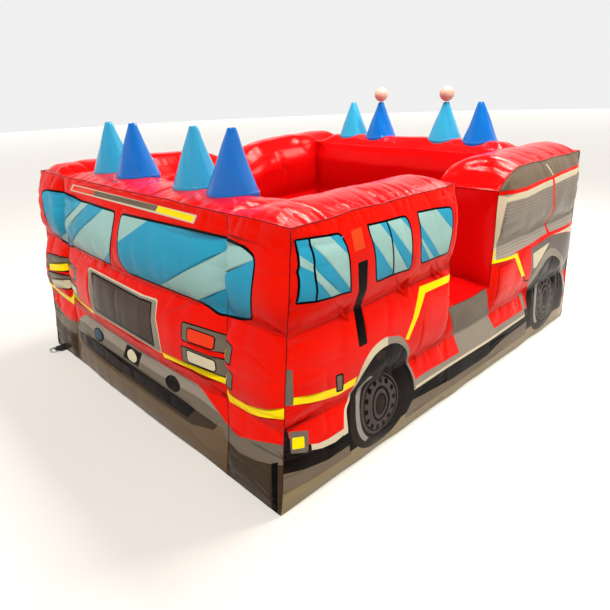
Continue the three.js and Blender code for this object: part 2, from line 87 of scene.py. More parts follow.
# ---- driving dimensions --------------------------------------------------------------------
HALF_W, HALF_L, ROOF = 1.065, 1.109, 1.055  # at the roof seams
LOW, HIGH = 0.34, 0.70  # heights of the tie seams
FRONT_FLARE, REAR_FLARE = 0.119, 0.108  # how far the foot stands out
INNER_X, INNER_Y = 0.737, 0.809  # half the play area
GAP_FROM, GAP_TO = -0.180, 0.200  # the entry gap along Y
STEP_TOP = 0.490
HALF_CLEAR = 0.00015  # half the space between neighbouring chambers
SHOULDER = 0.19  # length over which the rear section's roof drops to the gap
SHOULDER_DROP = 0.092
CROWN = 0.046
CONE_X = (-0.515, -0.262, 0.262, 0.515)
CONE_Y = {"front": -0.914, "rear": 0.979}
CONE_TOP = 1.318
CONE_FOOT_R, CONE_TIP_R = 0.102, 0.017
BALL_R = 0.046
STEP = 0.011  # mesh spacing on the printed panels
PLAIN_STEP = 0.014  # on plain panels
FINE_STEP = 0.0065  # on panels with sharp gathers

# ---- materials -----------------------------------------------------------------------------


def linear(code):
    """'#RRGGBB' as linear RGBA."""
    parts = [int(code[i:i + 2], 16) / 255 for i in (1, 3, 5)]
    return [c / 12.92 if c <= 0.04045 else ((c + 0.055) / 1.055) ** 2.4 for c in parts] + [1.0]


class Graph:
    """A material's node tree, with short calls to add and link nodes."""

    def __init__(self, name):
        self.material = bpy.data.materials.new(name)
        self.material.use_nodes = True
        self.tree = self.material.node_tree
        self.shader = self.tree.nodes["Principled BSDF"]
        self.where = self.add("ShaderNodeTexCoord").outputs["Object"]

    def add(self, kind, links=(), **settings):
        node = self.tree.nodes.new(kind)
        for key, value in settings.items():
            setattr(node, key, value)
        for socket, value in links:
            self.put(node.inputs[socket], value)
        return node

    def put(self, socket, value):
        if isinstance(value, bpy.types.NodeSocket):
            self.tree.links.new(value, socket)
        else:
            socket.default_value = value

    def math(self, operation, *values):
        return self.add("ShaderNodeMath", list(enumerate(values)), operation=operation).outputs[0]

    def noise(self, scale, detail=3.0):
        settings = [("Vector", self.where), ("Scale", scale), ("Detail", detail)]
        return self.add("ShaderNodeTexNoise", settings).outputs["Fac"]

    def span(self, value, low, high, to_low=0.0, to_high=1.0):
        return self.add("ShaderNodeMapRange", [
            ("Value", value), ("From Min", low), ("From Max", high),
            ("To Min", to_low), ("To Max", to_high),
        ]).outputs["Result"]

    def axis(self, name):
        return self.add("ShaderNodeSeparateXYZ", [("Vector", self.where)]).outputs[name]

    def weave(self, pitch):
        """Threads along two axes of whichever plane the surface lies in."""
        waves = [self.math("SINE", self.math("MULTIPLY", self.axis(a), 2 * math.pi / pitch)) for a in "XYZ"]
        return self.math("ADD", self.math("ADD", waves[0], waves[1]), waves[2])

    def shade(self, colour, factor):
        """The colour multiplied by a grey factor."""
        mixed = self.add("ShaderNodeMix", data_type="RGBA", blend_type="MULTIPLY")
        self.put(mixed.inputs[0], 1.0)
        self.put(mixed.inputs[6], colour)
        self.put(mixed.inputs[7], factor)
        return mixed.outputs[2]

    def bump(self, layers):
        """Chains bump nodes from (height, strength, distance) layers."""
        normal = None
        for height, strength, distance in layers:
            settings = [("Height", height), ("Strength", strength), ("Distance", distance)]
            node = self.add("ShaderNodeBump", settings)
            if normal:
                self.put(node.inputs["Normal"], normal)
            normal = node.outputs["Normal"]
        self.put(self.shader.inputs["Normal"], normal)


SCRIM = 0.0032  # pitch of the woven scrim that shows through the coating


def vinyl(name, colour, rough=0.2, fade=None, slats=None, coat=0.0, gloss=0.05, painted_seam_shade=True):
    """Coated PVC: a colour with faint mottling, scrim and handling creases under a clear gloss.
    fade = (low z, high z, factor at the low end); slats = pitch of printed roller-shutter lines."""
    g = Graph(name)
    tone = g.span(g.noise(5.0), 0.3, 0.7, 0.93, 1.0)
    weave = g.weave(SCRIM)
    tone = g.math("MULTIPLY", tone, g.span(weave, -2, 2, 0.95, 1.0))
    if painted_seam_shade:  # painted shade: each colour is darker, unevenly, just above the ground and just above each tie seam, where the lower part of a swelling band turns down away from the light
        uneven = g.span(g.noise(7.0), 0.3, 0.7, 0.72, 1.28)
        for low, reach, depth in ((0.0, 0.12, 0.85), (LOW, 0.17, 0.76), (HIGH, 0.17, 0.76)):
            above_seam = g.math("MULTIPLY", g.math("SUBTRACT", g.axis("Z"), low), uneven)
            shadow = g.span(above_seam, 0.0, reach, depth, 1.0)
            below_seam = g.span(above_seam, -0.012, 0.0, 1.0, 0.0)
            tone = g.math("MULTIPLY", tone, g.math("MAXIMUM", shadow, below_seam))
    if fade:
        low, high, factor = fade
        tone = g.math("MULTIPLY", tone, g.span(g.axis("Z"), low, high, factor, 1.0))
    if slats:
        line = g.math("PINGPONG", g.axis("Z"), slats / 2)
        tone = g.math("MULTIPLY", tone, g.span(line, 0.0, 0.0028, 0.62, 1.0))
    g.put(g.shader.inputs["Base Color"], g.shade(linear(colour), tone))
    g.put(g.shader.inputs["Roughness"], g.span(g.noise(14.0), 0.3, 0.7, rough * 0.8, rough * 1.25))
    g.shader.inputs["Coat Weight"].default_value = coat
    g.shader.inputs["Coat Roughness"].default_value = 0.12
    g.shader.inputs["Specular IOR Level"].default_value = gloss
    g.bump([
        (g.noise(6.0, 3.0), 0.22, 0.012),
        (g.noise(26.0, 2.0), 0.07, 0.003),
        (weave, 0.10, 0.0004),
    ])
    return g.material


def hard(name, colour, rough, metal=0.0, *, grain, scale=60.0):
    """Moulded plastic, cast or drawn metal: a fine grain, and wear in the roughness."""
    g = Graph(name)
    fine = g.noise(scale * 6, 4.0)
    tone = g.span(g.noise(scale / 8), 0.3, 0.7, 0.82, 1.0)
    worn = g.span(g.noise(scale / 4), 0.3, 0.7, rough * 0.8, min(1.0, rough * 1.2))
    g.put(g.shader.inputs["Base Color"], g.shade(linear(colour), tone))
    g.put(g.shader.inputs["Roughness"], worn)
    g.shader.inputs["Metallic"].default_value = metal
    g.bump([(fine, grain, 0.0006)])
    return g.material


def webbing(name, colour):
    """Woven strap: ribs across and along."""
    g = Graph(name)
    weave = g.weave(0.0021)
    g.put(g.shader.inputs["Base Color"], g.shade(linear(colour), g.span(weave, -2, 2, 0.55, 1.0)))
    g.put(g.shader.inputs["Roughness"], g.span(g.noise(40.0), 0.3, 0.7, 0.7, 0.95))
    g.bump([(weave, 0.6, 0.0008)])
    return g.material


MATTE = {"gloss": 0.03}
INKS = {name: vinyl(f"print_{name}", colour, **settings) for name, colour, settings in (
    ("red", "#E21000", {}),
    ("black", "#080606", MATTE),
    ("dark", "#140F0D", MATTE),
    ("brown", "#3C2F22", {}),
    ("tyre", "#281F19", MATTE),
    ("crescent", "#8E8A84", {}),
    ("rim", "#4A423E", MATTE),
    ("cream", "#CFC3A5", {}),
    ("grey", "#6E6356", {}),
    ("light_grey", "#8C8275", {}),
    ("fender", "#6A625E", {}),
    ("taupe", "#6E6050", {}),
    ("khaki", "#8B7B5B", {}),
    ("earth", "#6A5640", {"fade": (0.0, 0.2, 0.8)}),
    ("deep_blue", "#27485E", {}),
    ("yellow", "#FCDC00", {"painted_seam_shade": False}),
    ("orange", "#E2461A", {}),
    ("lamp", "#E63A1C", {}),
    ("blue", "#2F9DC0", {"fade": (0.70, 1.0, 0.72)}),
    ("pale", "#9CC4BE", {"fade": (0.70, 1.0, 0.80)}),
    ("slat", "#8D8377", {"slats": 0.016}),
    ("slat_light", "#A1978A", {"slats": 0.016}),
    ("grille", "#4A3C34", {"fade": (0.42, 0.64, 0.75)}),
)}
INK_NAMES = list(INKS)
TOP = vinyl("vinyl_top", "#DA0A0A", rough=0.12, gloss=0.13, painted_seam_shade=False)
# painted shade: a darker copy of the roof red for the plain side faces (towards the play area, the gap and
# the neighbouring chambers) and the floor sheet, which stand in shade
SHADED_RED = vinyl("vinyl_inner_shaded", "#CE0809", rough=0.14, gloss=0.07, painted_seam_shade=False)
BASE = vinyl("vinyl_base", "#3A3634", rough=0.6)

# ---- outlines of the printed artwork -------------------------------------------------------


def poly(*points):
    return np.array(points, float)


def rect(x0, y0, x1, y1):
    """A rectangle from one corner to the opposite one."""
    return poly((x0, y0), (x1, y0), (x1, y1), (x0, y1))


def rounded(points, radius, turns=5):
    """A polygon with its corners rounded; radius is one number, or one for each corner."""
    points = np.array(points, float)
    radii = radius if hasattr(radius, "__len__") else [radius] * len(points)
    made = []
    for n, r in enumerate(radii):
        at, before, after = points[n], points[n - 1], points[(n + 1) % len(points)]
        if r <= 0:
            made.append(at)
            continue
        a, b = (before - at) / np.linalg.norm(before - at), (after - at) / np.linalg.norm(after - at)
        for t in np.linspace(0, 1, turns):
            made.append(at + r * (a * (1 - t) ** 2 + b * t ** 2))
    return np.array(made)


def smooth(points, turns=5, ring=False):
    """A Catmull-Rom curve through the points."""
    p = np.array(points, float)
    p = np.vstack([p[-1:], p, p[:2]]) if ring else np.vstack([2 * p[:1] - p[1:2], p, 2 * p[-1:] - p[-2:-1]])
    made = []
    for a, b, c, d in zip(p, p[1:], p[2:], p[3:]):
        for t in np.arange(turns) / turns:
            made.append(0.5 * (2 * b + (c - a) * t + (2 * a - 5 * b + 4 * c - d) * t * t
                               + (3 * b - a - 3 * c + d) * t ** 3))
    return np.array(made if ring else made + [p[-2]])


def disc(x, y, rx, ry, sides=40, start=0.0, end=2 * math.pi):
    """An ellipse, or an arc of one."""
    t = np.linspace(start, end, sides, endpoint=False)
    return np.stack([x + rx * np.cos(t), y + ry * np.sin(t)], 1)


def ribbon(points, width):
    """A band of even width along an open line of points."""
    p = np.array(points, float)
    d = np.gradient(p, axis=0)
    n = np.stack([-d[:, 1], d[:, 0]], 1) / np.linalg.norm(d, axis=1)[:, None] * width / 2
    return np.vstack([p + n, (p - n)[::-1]])


def grow(points, by):
    """A polygon moved outwards by a distance, or inwards by a negative one."""
    p = np.array(points, float)
    x, y = p[:, 0], p[:, 1]
    turn = 1 if np.sum(x * np.roll(y, -1) - np.roll(x, -1) * y) > 0 else -1
    edge = np.roll(p, -1, 0) - p
    edge /= np.maximum(np.linalg.norm(edge, axis=1), 1e-9)[:, None]
    out = np.stack([edge[:, 1], -edge[:, 0]], 1) * turn
    both = out + np.roll(out, 1, 0)
    return p + by * 2 * both / np.maximum(np.sum(both * both, 1), 0.5)[:, None]


def slanted(low, high, x0, x1):
    """The part of a plane between two lines, each given by two points, from x0 to x1."""
    def at(line, x):
        (ax, ay), (bx, by) = line
        return (x, ay + (by - ay) * (x - ax) / (bx - ax))
    return poly(at(low, x0), at(low, x1), at(high, x1), at(high, x0))


def inside(points, shape):
    """Which of the points a polygon holds."""
    x, y = points[:, 0], points[:, 1]
    hit = np.zeros(len(points), bool)
    low, high = shape.min(0), shape.max(0)
    near = np.flatnonzero((x >= low[0]) & (x <= high[0]) & (y >= low[1]) & (y <= high[1]))
    if not len(near):
        return hit
    px, py = x[near], y[near]
    odd = np.zeros(len(near), bool)
    for (ax, ay), (bx, by) in zip(shape, np.roll(shape, -1, 0)):
        if ay == by:
            continue
        odd ^= ((ay > py) != (by > py)) & (px < (bx - ax) * (py - ay) / (by - ay) + ax)
    hit[near] = odd
    return hit


MIRROR = np.array([-1, 1])
WHEEL_Z = 0.232  # height of a printed wheel's hub
OUTLINE = 0.008  # width of the black outline round a printed window


def side_window(frame_shape, stripes, divider, patches=()):
    """A side window: black outline, blue glass with pale slanting stripes, and a divider."""
    glass = grow(frame_shape, -OUTLINE)
    art = [("black", frame_shape), ("blue", glass)]
    art += [("pale", slanted(a, b, frame_shape[:, 0].min() - 0.01, frame_shape[:, 0].max() + 0.01), glass)
            for a, b in stripes]
    art += [(ink, shape, glass) for ink, shape in patches]
    if divider:
        art.append(("black", ribbon(smooth(divider), OUTLINE), frame_shape))
    return art


def wheel(cy, cz):
    """A printed wheel seen a little from the front: tyre, bright crescent, rim, holes and hub."""
    tyre = disc(cy, cz - 0.006, 0.19, 0.188, 48)
    crescent = np.vstack([disc(cy - 0.01, cz, 0.142, 0.165, 24, 0.62 * math.pi, 1.32 * math.pi),
                          disc(cy + 0.005, cz, 0.132, 0.155, 24, 0.62 * math.pi, 1.32 * math.pi)[::-1]])
    art = [
        ("tyre", tyre), ("dark", disc(cy + 0.045, cz, 0.155, 0.172, 40)),
        ("crescent", crescent), ("rim", disc(cy, cz, 0.118, 0.13)),
        ("dark", disc(cy + 0.004, cz, 0.108, 0.12)), ("rim", disc(cy + 0.002, cz, 0.1, 0.112)),
    ]
    for n in range(14):
        t = 2 * math.pi * n / 14
        art.append(("black", disc(cy + 0.088 * math.cos(t), cz + 0.1 * math.sin(t), 0.0105, 0.012, 12)))
    art += [("black", disc(cy + 0.004, cz, 0.057, 0.078)), ("rim", disc(cy + 0.002, cz, 0.047, 0.066)),
            ("black", disc(cy + 0.004, cz, 0.036, 0.048)), ("tyre", disc(cy, cz, 0.028, 0.039))]
    return art


def side_art(gap=True):
    """The side print in (y, z). Without the gap, as on the other side, the middle is plain."""
    front, rear = -1.3, 1.3
    art = [
        # ground, sill and lower body, from the foot up
        ("khaki", rect(front, -0.01, rear, 0.16)),
        ("dark", poly((front, 0.20), (-1.1, 0.155), (-1.0, 0.138), (-0.87, 0.138), (-0.4, 0.15),
                      (-0.17, 0.13), (-0.16, 0.115), (0.2, 0.115), (0.21, 0.14), (0.6, 0.15), (1.3, 0.18),
                      (1.3, 0.24), (front, 0.24))),
        ("taupe", poly((front, 0.10), (-1.05, 0.085), (-0.86, 0.085), (-0.87, 0.138), (-1.0, 0.138),
                       (-1.1, 0.155), (front, 0.20))),
        ("taupe", poly((-0.5, 0.155), (-0.17, 0.135), (-0.16, 0.115), (0.2, 0.115), (0.21, 0.14),
                       (0.66, 0.16), (0.66, 0.07), (-0.5, 0.07))),
        ("black", poly((-0.44, 0.21), (0.62, 0.21), (0.62, 0.19), (0.2, 0.118), (-0.16, 0.118),
                       (-0.47, 0.15))),
        ("cream", poly((-1.09, 0.252), (-1.044, 0.235), (-0.994, 0.229), (-0.9, 0.230), (-0.9, 0.205),
                       (-0.959, 0.198), (-1.026, 0.205), (-1.093, 0.227))),
        ("black", poly((-1.03, 0.203), (-0.959, 0.196), (-0.87, 0.205), (-0.87, 0.168), (-0.98, 0.175))),
        ("dark", poly((front, 0.19), (-1.08, 0.19), (-1.08, 0.30), (front, 0.34))),
        ("red", poly((front, 0.33), (-1.10, 0.30), (-1.09, 0.252), (-1.044, 0.235), (-0.994, 0.229),
                     (-0.86, 0.231), (-0.44, 0.24), (rear, 0.24), (rear, ROOF + 0.02),
                     (front, ROOF + 0.02))),
        ("light_grey", poly((-0.46, 0.212), (0.6, 0.212), (0.585, 0.245), (-0.44, 0.245))),
        ("cream", rect(-0.46, 0.212, 0.6, 0.197)),
        ("red", poly((-0.48, 0.249), (-0.08, 0.237), (-0.08, 0.34), (-0.48, 0.36))),
    ]
    # entrance sill: slanting grey band between two red blocks
    art += [
        ("grey", poly((-0.175, STEP_TOP + 0.02), (-0.11, LOW - 0.005), (0.225, LOW - 0.005),
                      (0.157, STEP_TOP + 0.02))),
        ("light_grey", poly((-0.11, LOW), (-0.08, 0.237), (0.262, 0.237), (0.20, LOW))),
        ("light_grey", poly((0.545, LOW), (0.578, 0.240), (0.605, 0.240), (0.585, LOW))),
    ]
    # front arch, well and wheel
    outer = smooth([(-0.909, 0.20), (-0.909, 0.227), (-0.893, 0.297), (-0.86, 0.327), (-0.84, 0.375),
                    (-0.821, 0.436), (-0.787, 0.487), (-0.742, 0.523), (-0.681, 0.538), (-0.63, 0.528),
                    (-0.579, 0.509), (-0.53, 0.459), (-0.491, 0.403), (-0.469, 0.33), (-0.441, 0.252),
                    (-0.435, 0.20)])
    inner = smooth([(-0.884, 0.20), (-0.882, 0.286), (-0.849, 0.325), (-0.821, 0.38), (-0.776, 0.447),
                    (-0.726, 0.487), (-0.659, 0.499), (-0.603, 0.487), (-0.547, 0.447), (-0.507, 0.397),
                    (-0.485, 0.336), (-0.457, 0.258), (-0.449, 0.20)])
    well = np.vstack([inner, [(-0.449, 0.16), (-0.50, 0.10), (-0.87, 0.10), (-0.884, 0.17)]])
    art += [
        ("cream", outer), ("light_grey", rect(-0.66, 0.2, -0.42, 0.56), outer),
        ("black", well),
    ]
    art += wheel(-0.681, WHEEL_Z)
    art += [("tyre", disc(-0.70, 0.468, 0.03, 0.02, 20))]
    # rear fender, arch, well and wheel
    fender = np.vstack([smooth([(0.551, 0.612), (0.578, 0.503), (0.594, 0.433), (0.61, 0.38)]),
                        [(0.62, 0.2), (1.3, 0.2), (1.3, 0.50), (1.187, 0.535), (1.094, 0.582),
                         (1.0, 0.606), (0.80, 0.63)]])
    rear_outer = smooth([(0.60, 0.40), (0.627, 0.455), (0.705, 0.526), (0.765, 0.549), (0.812, 0.553),
                         (0.882, 0.533), (0.976, 0.471), (1.06, 0.40), (1.125, 0.337), (1.16, 0.24)])
    rear_inner = smooth([(0.625, 0.35), (0.658, 0.416), (0.72, 0.471), (0.78, 0.498), (0.835, 0.501),
                         (0.897, 0.483), (0.976, 0.432), (1.054, 0.361), (1.10, 0.28), (1.11, 0.20)])
    art += [
        ("fender", fender),
        ("cream", poly((0.80, 0.632), (1.0, 0.608), (1.094, 0.584), (1.187, 0.537), (1.3, 0.5), (1.3, 0.62),
                       (1.1, 0.63), (0.80, 0.65))),
        ("red", poly((1.13, 0.33), (1.3, 0.30), (1.3, 0.22), (1.14, 0.23))),
        ("light_grey", np.vstack([rear_outer, rear_inner[::-1]])),
        ("cream", rounded([(0.581, 0.58), (0.79, 0.592), (0.71, 0.54), (0.634, 0.487), (0.606, 0.487)],
                          0.008)),
        ("black", np.vstack([rear_inner, [(1.11, 0.1), (0.64, 0.1), (0.612, 0.30)]])),
    ]
    art += wheel(0.855, WHEEL_Z)
    # windows
    w1 = rounded([(-1.094, 1.018), (-0.918, 1.010), (-0.900, 0.977), (-0.887, 0.898), (-0.882, 0.82),
                  (-0.874, 0.783), (-1.111, 0.802), (-1.103, 0.898)],
                 [0.006, 0.02, 0.02, 0.03, 0.02, 0.004, 0.004, 0.03])
    art += side_window(w1, [
        (((-1.038, 0.987), (-0.884, 0.80)), ((-0.962, 1.0), (-0.895, 0.925))),
        (((-1.04, 0.872), (-0.981, 0.802)), ((-1.04, 0.910), (-0.931, 0.797))),
    ], [(-1.043, 1.012), (-1.047, 0.898), (-1.043, 0.80)], [
        ("blue", rect(-1.12, 1.03, -1.045, 0.79)),
        ("pale", poly((-1.11, 0.985), (-1.045, 0.925), (-1.045, 0.90), (-1.11, 0.945))),
    ])
    w2 = rounded([(-0.778, 1.003), (-0.562, 0.998), (-0.544, 0.95), (-0.536, 0.898), (-0.528, 0.804),
                  (-0.536, 0.776), (-0.737, 0.78), (-0.750, 0.80), (-0.762, 0.90), (-0.78, 0.98)],
                 [0.004, 0.02, 0.02, 0.03, 0.01, 0.006, 0.006, 0.01, 0.03, 0.01])
    art += side_window(w2, [
        (((-0.76, 0.94), (-0.64, 0.797)), ((-0.720, 1.0), (-0.548, 0.78))),
        (((-0.683, 1.0), (-0.53, 0.83)), ((-0.603, 1.0), (-0.55, 0.94))),
    ], [(-0.681, 1.0), (-0.669, 0.96), (-0.655, 0.898), (-0.640, 0.805), (-0.635, 0.779)])
    gap_edge = GAP_FROM if gap else -0.05
    w3_right = gap_edge - 0.080
    w3 = rounded([(-0.498, 0.998), (w3_right - 0.005, 0.985), (w3_right + 0.004, 0.89), (w3_right, 0.775),
                  (-0.455, 0.778), (-0.473, 0.805), (-0.486, 0.903), (-0.498, 0.98)],
                 [0.004, 0.03, 0.03, 0.02, 0.004, 0.01, 0.03, 0.01])
    art += side_window(w3, [
        (((-0.51, 0.92), (-0.364, 0.745)), ((-0.487, 1.2), (-0.1, 1.0))),
    ], None, [
        ("blue", slanted(((-0.479, 0.896), (-0.364, 0.781)), ((-0.487, 0.953), (-0.322, 0.781)),
                         -0.52, -0.1)),
        ("blue", poly((-0.51, 0.86), (-0.473, 0.825), (-0.434, 0.781), (-0.434, 0.76), (-0.52, 0.76))),
        ("blue", poly((-0.385, 1.02), (-0.382, 0.995), (-0.262, 0.883), (-0.17, 0.80), (0, 0.80),
                      (0, 1.02))),
        ("pale", poly((-0.225, 0.79), (-0.262, 0.883), (-0.27, 0.89), (-0.3, 0.79))),
    ])
    # mirror bar, stripe, handles and lamps
    art += [
        ("orange", rect(-0.865, 1.0, -0.81, 0.93)),
        ("black", rounded([(-0.851, 0.887), (-0.799, 0.887), (-0.795, 0.78), (-0.788, 0.70),
                           (-0.785, 0.552), (-0.832, 0.552), (-0.830, 0.70), (-0.838, 0.78)], 0.006, 3)),
        ("yellow", poly((front, 0.50), (-1.143, 0.470), (-1.0, 0.437), (-0.93, 0.424), (-0.835, 0.427),
                        (-0.84, 0.389), (-0.93, 0.385), (-1.0, 0.398), (-1.148, 0.440), (front, 0.47))),
        ("black", rounded([(-0.959, 0.487), (-0.916, 0.481), (-0.908, 0.395), (-0.945, 0.403)], 0.01, 4)),
        ("grey", rounded([(-0.951, 0.479), (-0.923, 0.474), (-0.916, 0.404), (-0.939, 0.411)], 0.007, 4)),
        ("grey", poly((-1.3, 0.62), (-1.179, 0.587), (-1.137, 0.573), (-1.148, 0.441), (-1.3, 0.46))),
        ("crescent", poly((-1.3, 0.62), (-1.19, 0.59), (-1.168, 0.583), (-1.176, 0.446), (-1.3, 0.46))),
        ("dark", poly((-1.3, 0.40), (-1.166, 0.347), (-1.174, 0.252), (-1.3, 0.27))),
        ("grey", rounded([(-1.165, 0.333), (-1.083, 0.305), (-1.098, 0.224), (-1.171, 0.249)], 0.008, 4)),
        ("yellow", rounded([(-1.157, 0.309), (-1.105, 0.291), (-1.112, 0.249), (-1.163, 0.266)], 0.004, 3)),
        ("yellow", poly((-0.425, 0.672), (-0.10 if not gap else -0.17, 0.660),
                        (-0.10 if not gap else -0.17, 0.634), (-0.40, 0.641), (-0.517, 0.468),
                        (-0.540, 0.480))),
    ]
    art += [
        ("black", rounded([(-0.212, 0.462), (-0.186, 0.470), (-0.180, 0.405), (-0.205, 0.392)], 0.008, 4)),
        ("grey", rounded([(-0.207, 0.455), (-0.190, 0.461), (-0.186, 0.410), (-0.202, 0.401)], 0.005, 4)),
    ]
    # roller shutters of the rear body
    def line(y, table):
        ys, zs = zip(*table)
        return np.interp(y, ys, zs)
    stripe_top = [(0.2, 0.963), (0.5, 0.963), (0.7, 0.973), (1.0, 0.988), (1.3, 1.0)]
    stripe_low = [(0.2, 0.943), (0.5, 0.943), (0.7, 0.957), (1.0, 0.971), (1.3, 0.985)]
    cream_low = [(0.2, 0.91), (0.5, 0.912), (0.7, 0.924), (1.0, 0.94), (1.3, 0.955)]
    lower_top = [(0.39, 0.625), (0.5, 0.634), (0.8, 0.65), (1.1, 0.638), (1.3, 0.628)]
    lower_low = [(0.39, 0.605), (0.5, 0.620), (0.8, 0.63), (1.1, 0.62), (1.3, 0.61)]
    ys = np.linspace(0.2, 1.3, 12)
    start = 0.187 if gap else 0.2

    def between(low, high, y0=start):
        at = np.unique(np.clip(np.append(ys, [y0, rear]), y0, rear))
        lows = [(y, line(y, low)) for y in at]
        highs = [(y, line(y, high)) for y in at]
        return np.array(lows + highs[::-1])
    roof_line = [(0.1, ROOF + 0.03), (1.3, ROOF + 0.03)]
    shade_floor = [(0.1, 0.61), (0.376, 0.61), (0.5, 0.634), (0.8, 0.65), (1.1, 0.638), (1.3, 0.628)]
    mid = [(0.1, HIGH), (1.3, HIGH)]
    art += [
        ("taupe", between(stripe_low, roof_line)),
        ("red", between(stripe_low, stripe_top)),
        ("cream", between(cream_low, stripe_low)),
        ("slat", between(mid, cream_low)),
        ("slat_light", between(shade_floor, mid)),
        ("cream", poly((0.19, 0.93), (0.226, 0.93), (0.228, 0.612), (0.205, 0.612))),
        ("red", ribbon(smooth([(0.690, 0.975), (0.705, 0.95), (0.735, 0.853), (0.763, 0.79),
                               (0.768, 0.70), (0.782, 0.64)]), 0.022)),
        ("cream", ribbon(smooth([(0.655, 1.035), (0.684, 0.995), (0.70, 0.975)]), 0.008)),
        ("red", between(lower_low, lower_top, 0.39)),
        ("yellow", poly((0.15, 0.672), (0.215, 0.677), (0.217, 0.625), (0.376, 0.617), (0.42, 0.617),
                        (0.524, 0.463), (0.493, 0.463), (0.390, 0.600), (0.15, 0.608))),
        ("black", ribbon([(0.236, 0.588), (0.36, 0.588), (0.385, 0.574)], 0.003)),
        ("black", ribbon([(0.236, 0.588), (0.234, 0.5), (0.238, 0.42)], 0.003)),
        ("black", ribbon([(0.505, 0.468), (0.535, 0.430), (0.585, 0.418)], 0.009)),
    ]
    return art


def corner_lamp(side, z_out, z_in, x_in, x_out, ink, drop, reach):
    """A lamp on the front face that runs on round the corner: (top, bottom) heights, then its ends."""
    (ft, fb), (lt, lb) = z_out, z_in
    frame_shape = rounded([(x_in - 0.036, ft), (INNER_X, ft - 0.006), (reach + 0.040, ft - drop),
                           (reach + 0.040, fb - drop), (INNER_X, fb - 0.008), (x_in - 0.036, fb)], 0.010, 4)
    lamp_shape = rounded([(x_in, lt), (x_out, lt - 0.006), (x_out, lb - 0.002), (x_in, lb)], 0.012, 4)
    art = [("black", grow(frame_shape, 0.006)), ("grey", frame_shape),
           ("black", grow(lamp_shape, 0.005)), (ink, lamp_shape)]
    return [(row_ink, shape * [side, 1]) for row_ink, shape in art]


